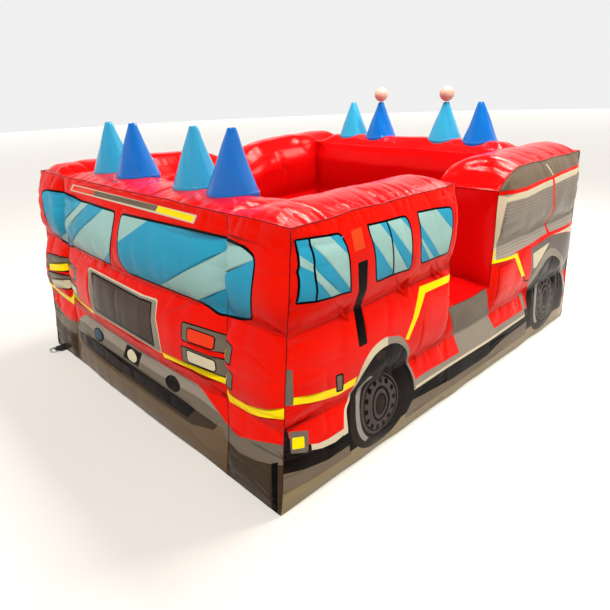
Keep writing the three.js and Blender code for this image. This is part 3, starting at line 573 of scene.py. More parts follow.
def front_art():
    """The windscreen end's print in (x, z)."""
    far = HALF_W + 0.02
    bay_foot = poly((INNER_X, -0.01), (INNER_X, 0.16), (0.94, 0.178), (far, 0.222), (far, -0.01))
    art = [
        ("earth", rect(-far, -0.01, far, 0.24)),
        ("brown", bay_foot), ("brown", bay_foot * MIRROR),
        ("brown", poly((-0.70, 0.235), (-0.66, 0.18), (-0.56, 0.145), (0.52, 0.145), (0.66, 0.18),
                       (0.70, 0.235))),
        ("dark", poly((-0.58, 0.24), (-0.53, 0.165), (0.49, 0.165), (0.56, 0.24))),
    ]
    body = poly((-far, 0.30), (-0.937, 0.261), (-0.827, 0.231), (-0.71, 0.228), (-0.60, 0.27),
                (0.60, 0.27), (0.71, 0.228), (0.827, 0.231), (0.937, 0.261), (far, 0.30),
                (far, ROOF + 0.02), (-far, ROOF + 0.02))
    art.append(("red", body))
    fender = poly((0.70, 0.205), (0.728, 0.156), (0.827, 0.158), (0.937, 0.178), (far, 0.222), (far, 0.302),
                  (0.937, 0.261), (0.827, 0.231), (0.70, 0.230))
    art += [("grey", fender), ("grey", fender * MIRROR)]
    # light bar
    art += [
        ("cream", rounded(rect(-0.57, 1.031, 0.57, 1.003), 0.004, 3)),
        ("lamp", rect(-0.553, 1.027, -0.30, 1.007)),
        ("taupe", rect(-0.30, 1.027, 0.295, 1.007)),
        ("yellow", rect(0.295, 1.027, 0.555, 1.007)),
    ]
    # windscreens, each running round its corner
    screen = rounded([(0.02, 0.976), (0.882, 0.976), (0.955, 0.955), (0.932, 0.795), (0.900, 0.710),
                      (0.838, 0.692), (0.706, 0.676), (0.60, 0.700), (0.10, 0.712), (0.078, 0.715),
                      (0.045, 0.76), (0.024, 0.85)],
                     [0.03, 0.03, 0.035, 0.06, 0.03, 0.02, 0.02, 0.04, 0.01, 0.02, 0.02, 0.05])
    pitch = 0.52

    def rising(x0, z0, x1, z1, lo, hi):
        """A band that climbs to the right between the lines through (x0, z0) and (x1, z1)."""
        return poly((lo, z0 + (lo - x0) * pitch), (hi, z0 + (hi - x0) * pitch),
                    (hi, z1 + (hi - x1) * pitch), (lo, z1 + (lo - x1) * pitch))
    for side in (1, -1):
        flip = np.array([side, 1])
        outer = screen * flip
        glass = grow(outer, -0.010)
        art += [("black", outer), ("blue", glass)]
        if side > 0:
            art += [
                ("pale", poly((-0.01, 0.828), (0.018, 0.844), (0.265, 0.97), (0.26, 1.0), (-0.01, 1.0)),
                 glass),
                ("pale", rising(0.596, 0.717, 0.332, 0.717, 0.2, 0.7365), glass),
                ("pale", poly((0.737, 0.846), (0.932, 0.94), (0.96, 0.99), (0.737, 0.99)), glass),
            ]
        else:
            art += [
                ("pale", poly((-0.395, 0.99), (-0.395, 0.97), (-0.737, 0.795), (-0.737, 0.755),
                              (-0.68, 0.755), (-0.318, 0.97), (-0.318, 0.99)), glass),
                ("pale", poly((-0.142, 0.99), (-0.142, 0.97), (-0.60, 0.728), (-0.60, 0.66), (-0.17, 0.66),
                              (-0.17, 0.72), (-0.02, 0.81), (0.0, 0.99)), glass),
                ("pale", poly((-0.737, 0.76), (-0.90, 0.68), (-0.80, 0.66), (-0.737, 0.70)), glass),
            ]
    # grille
    art += [
        ("cream", rounded([(-0.335, 0.657), (0.335, 0.657), (0.345, 0.42), (-0.345, 0.42)], 0.02)),
        ("light_grey", rounded([(-0.330, 0.650), (0.330, 0.650), (0.340, 0.424), (-0.340, 0.424)], 0.016)),
        ("dark", rounded([(-0.297, 0.641), (0.297, 0.641), (0.302, 0.436), (-0.302, 0.436)], 0.012)),
        ("grille", rounded([(-0.288, 0.633), (0.288, 0.633), (0.292, 0.442), (-0.292, 0.442)], 0.010)),
        ("tyre", poly((-0.288, 0.455), (0.288, 0.455), (0.292, 0.442), (-0.292, 0.442))),
    ]
    # lamps and the stripe
    for side in (1, -1):
        flip = np.array([side, 1])
        reach = 0.775 if side > 0 else 0.95
        far_drop = 0.0 if side > 0 else 0.02
        art += corner_lamp(side, (0.611, 0.541), (0.597, 0.545), 0.552, 0.686, "lamp", 0.012, reach)
        art += corner_lamp(side, (0.510, 0.443), (0.503, 0.453), 0.543, 0.695, "cream", 0.018, reach)
        bay_lamps = [
            ("yellow", rounded([(0.745, 0.577), (reach, 0.566 - far_drop), (reach, 0.526 - far_drop),
                                (0.745, 0.537)], 0.006, 3)),
            ("cream", rounded([(0.745, 0.483), (reach - 0.005, 0.470 - far_drop),
                               (reach - 0.005, 0.426 - far_drop), (0.745, 0.437)], 0.006, 3)),
        ]
        for ink, shape in bay_lamps:
            art += [("black", grow(shape, 0.005) * flip), (ink, shape * flip)]
        art += [
            ("yellow", rect(0.345, 0.428, INNER_X, 0.402) * flip),
            ("yellow", poly((INNER_X, 0.402), (0.76, 0.377), (0.882, 0.389), (1.1, 0.447), (1.1, 0.405),
                            (0.882, 0.346), (0.75, 0.336), (INNER_X, 0.366)) * flip),
        ]
    # bumper, fog lamps and badge
    art += [
        ("grey", poly((-0.735, 0.222), (-0.706, 0.255), (-0.585, 0.32), (-0.55, 0.333), (0.55, 0.333),
                      (0.585, 0.32), (0.706, 0.255), (0.735, 0.222), (0.706, 0.203), (0.497, 0.233),
                      (-0.497, 0.233), (-0.706, 0.203))),
        ("light_grey", poly((-0.69, 0.262), (-0.585, 0.32), (-0.55, 0.333), (0.55, 0.333), (0.585, 0.32),
                            (0.69, 0.262), (0.56, 0.285), (-0.56, 0.285))),
        ("black", disc(0.373, 0.28, 0.060, 0.034, 28)), ("dark", disc(0.373, 0.28, 0.050, 0.027, 28)),
        ("black", disc(-0.373, 0.28, 0.060, 0.034, 28)),
        ("deep_blue", disc(-0.378, 0.28, 0.048, 0.025, 28)),
        ("black", rounded([(-0.048, 0.327), (0.106, 0.329), (0.078, 0.253), (-0.078, 0.255)], 0.008, 4)),
        ("cream", disc(0.012, 0.288, 0.048, 0.028, 28)),
    ]
    strap = poly((1.02, 0.0), (1.045, 0.0), (1.045, 0.22), (1.02, 0.205))
    return art + [("black", strap), ("black", strap * MIRROR)]


def rear_art():
    """The rear print in (x, z), which the photograph doesn't show: shutter, lamps, bumper, stripe."""
    far = HALF_W + 0.02
    art = [
        ("khaki", rect(-far, -0.01, far, 0.2)),
        ("red", rect(-far, 0.2, far, ROOF + 0.02)),
        ("taupe", rect(-far, 1.0, far, ROOF + 0.02)),
        ("cream", rect(-far, 0.955, far, 0.985)),
        ("cream", rounded(rect(-0.66, 0.93, 0.66, 0.705), 0.02)),
        ("slat", rounded(rect(-0.64, 0.915, 0.64, 0.72), 0.01)),
        ("yellow", rect(-far, 0.402, far, 0.430)),
        ("grey", poly((-0.95, 0.335), (0.95, 0.335), (0.985, 0.3), (0.985, 0.22), (-0.985, 0.22),
                      (-0.985, 0.3))),
        ("light_grey", poly((-0.95, 0.335), (0.95, 0.335), (0.985, 0.3), (-0.985, 0.3))),
        ("dark", poly((-0.985, 0.22), (0.985, 0.22), (0.93, 0.165), (-0.93, 0.165))),
    ]
    for side in (1, -1):
        flip = np.array([side, 1])
        art += [
            ("dark", rounded(rect(0.80, 0.90, 0.98, 0.50), 0.02) * flip),
            ("lamp", rounded(rect(0.815, 0.885, 0.965, 0.775), 0.012) * flip),
            ("yellow", rounded(rect(0.815, 0.76, 0.965, 0.66), 0.012) * flip),
            ("cream", rounded(rect(0.815, 0.645, 0.965, 0.515), 0.012) * flip),
        ]
    return art


# ---- inflated surfaces ---------------------------------------------------------------------


FULLNESS = 2.7  # 2 would swell a panel to a plain parabola; more fills it nearer to its seams


def quilt(d, width):
    """How full a panel is at a distance from its seam: 0 on the seam, 1 from width inwards."""
    return 1 - (1 - np.clip(d / width, 0, 1)) ** FULLNESS


def both(near, far, width):
    """The same between two opposite seams."""
    return quilt(near, width) * quilt(far, width)


def bands(z, swells, seams):
    """The swell at height z of panels tied at the seams."""
    made = np.zeros_like(z)
    for swell, low, high in zip(swells, seams, seams[1:]):
        t = np.clip((z - low) / (high - low), 0, 1)
        made = np.where((z >= low) & (z <= high), swell * (1 - np.abs(2 * t - 1) ** FULLNESS), made)
    return made


WAVES = []
wave_rng = np.random.default_rng(11)
for wave_size, wave_length in ((0.0028, 0.55), (0.0018, 0.24), (0.0008, 0.11)):
    for _ in range(4):
        heading = wave_rng.normal(size=3)
        heading *= 2 * math.pi / wave_length / np.linalg.norm(heading)
        WAVES.append((wave_size / 2, heading, wave_rng.uniform(0, 6.28), wave_rng.normal(size=3)))


def wobble(p):
    """Small uneven drift of the fabric, the same for every panel that meets at a point."""
    made = np.zeros_like(p)
    for size, heading, phase, along in WAVES:
        made += size * np.sin(p @ heading + phase)[:, None] * along
    made[:, 2] *= np.clip(p[:, 2] / 0.1, 0, 1)
    return made


LINE = np.arange(-1.6, 1.6, 0.002)


def pleats(seed, spacing, width):
    """A profile along a seam: narrow valleys at uneven intervals, from 0 to about 1 deep."""
    rng = np.random.default_rng(seed)
    made = np.zeros_like(LINE)
    at = LINE[0]
    while at < LINE[-1]:
        at += spacing * rng.uniform(0.45, 1.7)
        w = width * rng.uniform(0.6, 1.5)
        made += rng.uniform(0.1, 1.0) * np.exp(-np.abs((LINE - at) / w) ** 1.4)
    return made


PLEATS = {}


def pucker(s, d, seed, depth, reach, crisp=1.0):
    """Gathers that run from a seam into the panel: s along the seam, d away from it."""
    made = np.zeros_like(s)
    for layer, (spacing, width, share, far) in enumerate((
            (0.040, 0.009, 0.55, 0.45), (0.085, 0.014, 0.95, 1.0), (0.21, 0.022, 1.25, 1.9))):
        key = (seed, layer)
        if key not in PLEATS:
            PLEATS[key] = (pleats(seed * 7 + layer, spacing * crisp, width * crisp),
                           np.random.default_rng(seed * 5 + layer).uniform(-0.35, 0.35))
        table, slant = PLEATS[key]
        away = np.maximum(d, 0)
        fade = (1 - np.exp(-away / 0.005)) * np.exp(-(away / (reach * far)) ** 1.4)
        made -= depth * share * fade * np.interp(s + slant * away, LINE, table)
    return made


def rolled(p, inner):
    """How much of the roll-over applies along a wall: none in the corners of the play area."""
    axis, _, limits, _ = inner
    along = p[:, 1 - axis]
    t = np.clip(np.minimum(along - limits[0], limits[1] - along) / 0.14, 0, 1)
    return t * t * (3 - 2 * t)


def roll_over(p, inner):
    """The shift that rounds the edge between a roof and the play area's side of its wall.
    inner = (axis, the play-area face's coordinate, (from, to) along the wall, radius)."""
    axis, plane, _, radius = inner
    sign = math.copysign(1.0, plane)
    edge = saddle(p[:, 1]) if plane == -INNER_X else ROOF
    aside, down = np.abs(p[:, axis] - plane), np.maximum(edge - p[:, 2], 0)
    inset = np.minimum(aside, down)
    r = np.maximum(radius - inset, 0) * rolled(p, inner)
    d = np.maximum(aside, down) - inset
    safe = np.maximum(r, 1e-9)
    angle = math.pi / 4 * np.clip(1 - d / safe, 0, 1)
    moved = np.zeros_like(p)
    slip = (safe * (1 - np.sin(angle)) - d) * (d < r)  # along the face that the point lies on
    drop = safe * (1 - np.cos(angle)) * (d < r)  # into the wall
    on_roof = down <= aside
    moved[:, axis] = sign * np.where(on_roof, slip, drop)
    moved[:, 2] = -np.where(on_roof, drop, slip)
    return moved


SIDES = {  # of each face's flat outline: the neighbour on its low-b, high-a, high-b and low-a side
    "-x": ("bottom", "+y", "top", "-y"), "+x": ("bottom", "+y", "top", "-y"),
    "-y": ("bottom", "+x", "top", "-x"), "+y": ("bottom", "+x", "top", "-x"),
    "top": ("-y", "+x", "+y", "-x"), "bottom": ("-y", "+x", "+y", "-x"),
}
OUTWARD = {"-x": (-1, 0, 0), "+x": (1, 0, 0), "-y": (0, -1, 0), "+y": (0, 1, 0), "top": (0, 0, 1),
           "bottom": (0, 0, -1)}
FLIPPED = ("-x", "+y", "bottom")  # faces whose flat axes turn the other way round


ZIP_X, ZIP_Z = 0.400, 0.520  # the middle of the zip
ZIP_HALF, ZIP_OUT = 0.210, 0.030  # its half length, and how far it stands off the wall's plane


def zip_seat(swell):
    """Draws the panel flat under the zip."""
    def seated(x, z):
        made = swell(x, z)
        d = np.hypot(np.maximum(np.abs(x - ZIP_X) - ZIP_HALF - 0.01, 0),
                     np.maximum(np.abs(z - ZIP_Z) - 0.045, 0))
        t = ease(0.08 - d, 0.08)
        drift = wobble(np.stack([x, rear_y(z), z], 1))[:, 1]
        return made * (1 - t) + (ZIP_OUT - 0.0005 - drift) * t
    return seated


TOUCH = 5e-6  # a point this close to an outline lies on it
SEAM = 1e-7  # within this of a seam, a panel does not swell


class Chamber:
    """One air chamber: six sewn panels welded into a closed skin, each drawn flat, cut along its
    artwork and then swelled."""

    def __init__(self, name, x, y, top, swell, art=None, carry=None, inner=None, fine=()):
        self.name, self.x, self.swell, self.carry, self.inner, self.extra = name, x, swell, carry, inner, {}
        self.fine = fine  # faces with gathers so sharp that they need a closer mesh
        self.y = [v if callable(v) else level(v) for v in y]
        self.curved = callable(top)
        self.top = top if self.curved else level(top)
        self.art = {face: [(ink, shape, mask[0] if mask else None) for ink, shape, *mask in rows]
                    for face, rows in (art or {}).items()}
        self.edges = {}
        for face, sides in SIDES.items():
            for side in sides:
                key = frozenset((face, side))
                if key not in self.edges:
                    self.edges[key] = self.spread(face, side)

    def span(self, face, side):
        """The range that the shared edge's own coordinate runs over."""
        pair = {face, side}
        if not pair & {"-x", "+x"}:
            return self.x
        ends = pair & {"-y", "+y"}
        if ends:
            end = self.y[0 if "-y" in ends else 1]
            z = float(self.top(end(ROOF)))
            return (0.0, z)
        z = 0.0 if "bottom" in pair else ROOF
        return (float(self.y[0](z)), float(self.y[1](z)))

    def spread(self, face, side):
        low, high = self.span(face, side)
        near = face in self.art or side in self.art or "top" in (face, side)
        step = FINE_STEP if {face, side} & set(self.fine) else STEP if near else PLAIN_STEP
        return list(np.linspace(low, high, max(2, round((high - low) / step)) + 1))

    def flat(self, face, side, t):
        """Flat coordinates of points on one side of a face's outline."""
        t = np.asarray(t, float)
        if face in ("-x", "+x"):
            if side in ("-y", "+y"):
                return np.stack([self.y[side == "+y"](t), t], 1)
            return np.stack([t, np.zeros_like(t) if side == "bottom" else self.top(t)], 1)
        if face in ("-y", "+y"):
            if side in ("-x", "+x"):
                return np.stack([np.full_like(t, self.x[side == "+x"]), t], 1)
            end = self.y[face == "+y"](ROOF)
            return np.stack([t, np.zeros_like(t) + (0 if side == "bottom" else self.top(end))], 1)
        z = ROOF if face == "top" else 0.0
        if side in ("-x", "+x"):
            return np.stack([np.full_like(t, self.x[side == "+x"]), t], 1)
        return np.stack([t, np.zeros_like(t) + self.y[side == "+y"](z)], 1)

    def base(self, face, ab):
        a, b = ab[:, 0], ab[:, 1]
        if face in ("-x", "+x"):
            return np.stack([np.full_like(a, self.x[face == "+x"]), a, b], 1)
        if face in ("-y", "+y"):
            return np.stack([a, self.y[face == "+y"](b), b], 1)
        return np.stack([a, b, self.top(b) if face == "top" else np.zeros_like(a)], 1)

    def place(self, face, ab, rim=None):
        """Flat coordinates to the swelled surface; points on the rim stay on their seam."""
        p = self.base(face, ab)
        d = self.swell[face](ab[:, 0], ab[:, 1]) if face in self.swell else np.zeros(len(ab))
        if rim is not None:
            d = np.where(rim, 0, d)
        spot = p + np.array(OUTWARD[face]) * d[:, None] + wobble(p)
        if self.carry:
            spot[:, 0] += self.carry(p)
        if self.inner:
            spot += roll_over(p, self.inner)
        return spot

    def normals(self, face, ab):
        h = 0.0012
        da = self.place(face, ab + [h, 0]) - self.place(face, ab - [h, 0])
        db = self.place(face, ab + [0, h]) - self.place(face, ab - [0, h])
        n = np.cross(da, db)
        n /= np.linalg.norm(n, axis=1)[:, None]
        return -n if face in FLIPPED else n

    def cut(self, face):
        """Triangulates a face's flat outline along its artwork."""
        loop = []
        for n, side in enumerate(SIDES[face]):
            points = self.flat(face, side, self.edges[frozenset((face, side))])
            if n > 1:
                points = points[::-1]
            loop.append(points[:-1])
        outline = np.vstack(loop)
        low, high = outline.min(0), outline.max(0)
        step = FINE_STEP if face in self.fine else STEP if face in self.art or face == "top" else PLAIN_STEP
        counts = np.maximum(2, np.round((high - low) / step).astype(int))
        a, b = np.meshgrid(np.linspace(low[0], high[0], counts[0] + 1)[1:-1],
                           np.linspace(low[1], high[1], counts[1] + 1)[1:-1])
        if face not in ("top", "bottom"):
            for z in (z for z in (LOW, HIGH) if z < high[1]):  # a row of points right on each tie seam
                row = np.argmin(np.abs(b[:, 0] - z))
                b[row] = z
        grid = np.stack([a.ravel(), b.ravel()], 1)
        lines = [outline] + [shape for _, shape, _ in self.art.get(face, [])]
        keep = inside(grid, outline)
        for shape in lines:
            for p, q in zip(shape, np.roll(shape, -1, 0)):
                d = q - p
                length = np.hypot(*d)
                if length < 1e-9:
                    continue
                margin = 0.42 * step
                box = ((grid > np.minimum(p, q) - margin) & (grid < np.maximum(p, q) + margin)).all(1)
                near = np.flatnonzero(box & keep)
                t = np.clip((grid[near] - p) @ d / length ** 2, 0, 1)
                off = np.hypot(*(grid[near] - p - t[:, None] * d).T)
                keep[near[off < margin]] = False
        grid = grid[keep]
        points = [Vector(v) for v in outline]
        edges = [(n, (n + 1) % len(outline)) for n in range(len(outline))]
        for _, shape, _ in self.art.get(face, []):
            first = len(points)
            points += [Vector(v) for v in shape]
            edges += [(first + n, first + (n + 1) % len(shape)) for n in range(len(shape))]
        points += [Vector(v) for v in grid]
        out = delaunay_2d_cdt(points, edges, [], 0, 4e-6, False)
        flat = np.array([tuple(v) for v in out[0]], float)
        tris = np.array(out[2], int)
        u, v = flat[tris[:, 1]] - flat[tris[:, 0]], flat[tris[:, 2]] - flat[tris[:, 0]]
        area = u[:, 0] * v[:, 1] - u[:, 1] * v[:, 0]
        tris = np.where((area < 0)[:, None], tris[:, ::-1], tris)
        middle = flat[tris].mean(1)
        kept = inside(middle, outline)
        # a sliver along a side is inside if it turns the way the outline does
        for n, side in enumerate(SIDES[face]):
            which, t = self.on_side(face, side, flat)
            walk = np.full(len(flat), np.nan)
            walk[which] = t if n < 2 else -t
            w = walk[tris]
            sliver = ~np.isnan(w).any(1)
            kept[sliver] = ((w < np.roll(w, -1, 1)).sum(1) == 2)[sliver]
        tris, middle = tris[kept], middle[kept]
        return flat, tris, middle

    def on_side(self, face, side, flat):
        """Output points on one side of the outline, with their coordinate along it."""
        ts = np.array(self.edges[frozenset((face, side))])
        line = self.flat(face, side, ts)
        along = 1 if (side in ("-x", "+x") or (face in ("-x", "+x") and side in ("-y", "+y"))) else 0
        across = 1 - along
        expected = np.interp(flat[:, along], line[:, along], line[:, across])
        between_ends = (flat[:, along] > ts[0] - TOUCH) & (flat[:, along] < ts[-1] + TOUCH)
        ok = (np.abs(flat[:, across] - expected) < TOUCH) & between_ends
        return np.flatnonzero(ok), flat[ok][:, along]

    def meet_artwork(self):
        """Gives both panels at a seam a point wherever the artwork crosses it."""
        for face in self.art:
            flat = self.cut(face)[0]
            for side in SIDES[face]:
                key = frozenset((face, side))
                found = self.on_side(face, side, flat)[1]
                old = np.array(self.edges[key])
                new = np.array([t for t in found if np.abs(old - t).min() > 6e-6])
                self.extra.setdefault(key, []).extend(new)
        for key, new in self.extra.items():
            if not len(new):
                continue
            new = np.sort(new)
            new = new[np.append(True, np.diff(new) > 8e-6)]
            old = np.array(self.edges[key])
            ends = old[[0, -1]]
            new = new[(new > ends[0] + 8e-6) & (new < ends[1] - 8e-6)]
            kept = [t for t in old[1:-1] if not len(new) or np.abs(new - t).min() > 0.0012]
            self.edges[key] = sorted([ends[0], ends[1], *kept, *new])

    def build(self):
        self.meet_artwork()
        if self.curved:  # a new point bends the outline a little, so the crossings move once more
            self.meet_artwork()
        vertices, index, faces, inks, normals = [], {}, [], [], []
        for face in SIDES:
            flat, tris, middle = self.cut(face)
            rim = np.zeros(len(flat), bool)
            for side in SIDES[face]:
                ts = np.array(self.edges[frozenset((face, side))])
                which, t = self.on_side(face, side, flat)
                rim[which] = True
                nearest = ts[np.abs(ts[None, :] - t[:, None]).argmin(1)]
                close = np.abs(nearest - t) < 2e-5
                flat[which[close]] = self.flat(face, side, nearest[close])
            spots = self.place(face, flat, rim)
            turned = self.normals(face, flat)
            ids = []
            for key, spot in zip(map(tuple, np.round(spots + 1.3e-6, 5)), spots):
                if key not in index:
                    index[key] = len(vertices)
                    vertices.append(spot)
                ids.append(index[key])
            ids = np.array(ids)
            if face in FLIPPED:
                tris = tris[:, ::-1]
            ink = np.full(len(tris), -1)
            for name, shape, mask in self.art.get(face, []):
                hit = inside(middle, shape)
                if mask is not None:
                    hit &= inside(middle, mask)
                ink[hit] = INK_NAMES.index(name)
            # plain faces: roof red on top, base fabric below, and the darker painted-shade red on every
            # side
            if face not in self.art:
                ink[:] = len(INK_NAMES) + {"top": 0, "bottom": 2}.get(face, 1)
            else:
                ink[ink < 0] = 0
            real = ids[tris]
            good = (real[:, 0] != real[:, 1]) & (real[:, 1] != real[:, 2]) & (real[:, 0] != real[:, 2])
            faces.append(real[good])
            inks.append(ink[good])
            normals.append(turned[tris[good]].reshape(-1, 3))
        palette = list(INKS.values()) + [TOP, SHADED_RED, BASE]
        # only the points that a kept triangle uses go into the mesh
        used, corners = np.unique(np.vstack(faces), return_inverse=True)
        return mesh_object(f"{self.name}_skin", np.array(vertices)[used], corners.reshape(-1, 3), palette,
                           np.concatenate(inks), np.vstack(normals))


def mesh_object(name, vertices, faces, materials, slots=None, normals=None):
    """A mesh object; materials no face uses are left out."""
    mesh = bpy.data.meshes.new(name)
    mesh.from_pydata([tuple(v) for v in vertices], [], [tuple(int(i) for i in f) for f in faces])
    slots = np.zeros(len(faces), int) if slots is None else np.asarray(slots)
    used = sorted(set(slots.tolist()))
    for n in used:
        mesh.materials.append(materials[n])
    mesh.polygons.foreach_set("material_index", np.searchsorted(used, slots))
    mesh.polygons.foreach_set("use_smooth", np.ones(len(faces), bool))
    mesh.update()
    if normals is not None:
        mesh.normals_split_custom_set([tuple(n) for n in normals])
    made = bpy.data.objects.new(name, mesh)
    SCENE.collection.objects.link(made)
    return made


def front_y(z):
    """Y of the front face at a height: it flares out towards the foot."""
    return -HALF_L - FRONT_FLARE * (1 - np.asarray(z, float) / ROOF)


def rear_y(z):
    """The same for the rear face."""
    return HALF_L + REAR_FLARE * (1 - np.asarray(z, float) / ROOF)


def shoulder(y):
    """Roof seam height of the rear section, which drops towards the gap."""
    t = np.clip((np.asarray(y, float) - GAP_TO) / SHOULDER, 0, 1)
    return ROOF - SHOULDER_DROP * (1 - t) ** 2


SAG = smooth([(-1.3, 0), (-0.55, 0), (-0.20, 0.016), (-0.08, 0.040), (0.01, 0.076), (0.10, 0.090),
              (0.19, 0.074), (0.26, 0.042), (0.36, 0.016), (0.55, 0), (1.3, 0)], 6)


def saddle(y):
    """Roof seam height of the left wall, which has buckled a little halfway along."""
    return ROOF - np.interp(np.asarray(y, float), SAG[:, 0], np.maximum(SAG[:, 1], 0))


SEAMS = (0.0, LOW, HIGH, ROOF)
SIDE_SWELL = (0.025, 0.035, 0.045)
FRONT_SWELL = (0.02, 0.04, 0.045)
REAR_SWELL = (0.018, 0.024, 0.038)
BOW_Z, BOW = (0.0, LOW, HIGH, ROOF), (0.01, 0.025, 0.05, 0.0)


def tied(a, b, seed, depth, reach, levels=(LOW, HIGH)):
    """Gathers on both sides of the tie seams."""
    return sum(pucker(a, np.abs(b - z), seed + n, depth, reach) for n, z in enumerate(levels))


def skirt(p):
    """The lower band of the entry side, one long panel past the gap: it swells every chamber alike."""
    x, y, z = p.T
    full = bands(z, (SIDE_SWELL[0], 0, 0), SEAMS)
    ends = quilt(y - front_y(z), 0.16) * quilt(rear_y(z) - y, 0.16)
    return full * ends * np.clip((x - INNER_X) / (HALF_W - INNER_X), 0, 1) ** 2


def side_face(y_from, y_to, seed, ends=(0.16, 0.16), top=None, swells=SIDE_SWELL, crisp=1.0):
    """An outer side: three tied bands, full between its ends."""
    def swell(y, z):
        roof = ROOF if top is None else top(y)
        near, far = y - y_from(z), y_to(z) - y
        made = bands(z, swells, SEAMS) * quilt(near, ends[0]) * quilt(far, ends[1])
        made = made + tied(y, z, seed, 0.0060, 0.07) * both(near, far, 0.05)
        below = roof - z
        crumple = 1 + 1.3 * np.exp(-near / 0.25)
        made = made + pucker(y, below, seed + 3, 0.0048, 0.06, crisp) * crumple * both(near, far, 0.04)
        made = made + pucker(z, near, seed + 4, 0.0125, 0.10, crisp) * both(below, z, 0.05)
        made = made + pucker(z, far, seed + 5, 0.0070, 0.07) * both(below, z, 0.05)
        return np.where(below < SEAM, 0, made)
    return swell


def end_face(x_from, x_to, seed, swells, middle=False, margin=0.16, crisp=1.0):
    """A front or rear panel between two seams; the middle one also bows out."""
    def swell(x, z):
        near, far = x - x_from, x_to - x
        made = bands(z, swells, SEAMS) * both(near, far, margin)
        if middle:
            made = made + np.interp(z, np.linspace(0, ROOF, 40), BOW_CURVE) * (1 - (x / INNER_X) ** 2)
        made = made + tied(x, z, seed, 0.0060, 0.07) * both(near, far, 0.05)
        made = made + pucker(x, ROOF - z, seed + 3, 0.0055, 0.06, crisp) * both(near, far, 0.04)
        made = made + pucker(z, near, seed + 4, 0.0105, 0.09, crisp) * both(ROOF - z, z, 0.05)
        made = made + pucker(z, far, seed + 5, 0.0105, 0.09, crisp) * both(ROOF - z, z, 0.05)
        return np.where(ROOF - z < SEAM, 0, made)
    return swell


BOW_CURVE = np.interp(np.linspace(0, ROOF, 40), *zip(*smooth(list(zip(BOW_Z, BOW)), 8)))
BOW_CURVE[-1] = 0.0


def ease(d, width):
    """A smooth step from 0 at d = 0 to 1 at d = width."""
    t = np.clip(d / width, 0, 1)
    return t * t * (3 - 2 * t)


def roof_face(x, y, seed, along, ends, crown=CROWN, inner=None, crisp=1.0):
    """A roof panel: crowned across, drawn in at both ends, and eased where it rolls over."""

    def swell(a, b):
        span_a, span_b = (a - x[0], x[1] - a), (b - y[0], y[1] - b)
        across, length = (span_b, span_a) if along == "x" else (span_a, span_b)
        width = across[0] + across[1]
        full = 1 - ((across[0] - across[1]) / width) ** 2
        s = a if along == "x" else b
        ends_held = quilt(length[0], ends[0]) * quilt(length[1], ends[1])
        made = (crown(s) if callable(crown) else crown) * full * ends_held
        c = b if along == "x" else a
        calm = both(length[0], length[1], 0.05)
        rough = 1 + 1.4 * np.exp(-length[0] / 0.22)
        gathers = [pucker(s, across[0], seed, 0.0052, 0.075, crisp),
                   pucker(s, across[1], seed + 1, 0.0062, 0.085, crisp)]
        if inner:
            roll = rolled(np.stack([a, b], 1), inner)
            which = 0 if abs((x if along == "y" else y)[0] - inner[1]) < 0.01 else 1
            made = made * (1 - roll + roll * ease(across[which], 0.12) * 1.12)
            gathers[which] = gathers[which] * (1 - 0.8 * roll)
        made = made + (gathers[0] + gathers[1]) * calm * rough
        drawn = pucker(c, length[0], seed + 2, 0.0055, 0.07) + pucker(c, length[1], seed + 3, 0.0055, 0.07)
        made = made + drawn * both(across[0], across[1], 0.04)
        edge = np.minimum(np.minimum(*across), np.minimum(*length))
        return np.where(edge < SEAM, 0, made)
    return swell


def inner_face(along_from, along_to, seed, swell_by=0.03, seams=SEAMS, top=ROOF, roll=0.0, crush=False):
    """A face towards the play area or the gap, seen only between its two limits."""
    def swell(a, z):
        near, far = a - along_from, along_to - a
        z = z + (ROOF - top(a) if callable(top) else 0) * np.clip(z / ROOF, 0, 1)
        amounts = [swell_by] * (len(seams) - 1)
        made = bands(z, amounts, seams) * both(near, far, 0.12)
        made = made + tied(a, z, seed, 0.003, 0.06, seams[1:-1]) * both(near, far, 0.05)
        down = (ROOF if callable(top) else top) - z
        made = made * (1 - roll + roll * ease(down, 0.14))
        made = made + (1 - roll) * pucker(a, down, seed + 3, 0.0038, 0.07) * both(near, far, 0.04)
        ends = pucker(z, near, seed + 4, 0.003, 0.06) + pucker(z, far, seed + 5, 0.003, 0.06)
        made = made + ends * quilt(down, 0.05)
        if crush:
            made = made + sum(pucker(a + 0.3 * k, np.hypot(a - y, z - h), seed + 6 + k, 0.011, 0.07)
                              for k, (y, h) in enumerate(((0.42, 0.90), (0.12, 0.80), (0.02, 0.93))))
        seen = (near > 0) & (far > 0) & (z > 0)
        return np.where(seen & (down > SEAM), made * quilt(z, 0.05), 0)
    return swell


CORNER_SWELL = (0.018, 0.043, 0.050)
CORNER = 0.074  # how far in from its seams a corner panel is held down


def gap_face(top, seed):
    """The end of a side wall above the entrance step."""
    def swell(x, z):
        near, far = x - INNER_X, HALF_W - x
        t = np.clip((z - STEP_TOP) / (top - STEP_TOP), 0, 1)
        made = 0.03 * (1 - (2 * t - 1) ** 2) * both(near, far, 0.12)
        made = made + pucker(x, top - z, seed, 0.0075, 0.055) * both(near, far, 0.04)
        made = made + pucker(x, z - STEP_TOP, seed + 1, 0.003, 0.05) * both(near, far, 0.04)
        lower = quilt(top - z, 0.05) * quilt(z - STEP_TOP, 0.04)
        made = made + pucker(z, far, seed + 2, 0.003, 0.05) * lower
        return np.where((z > STEP_TOP) & (top - z > SEAM), made, 0)
    return swell


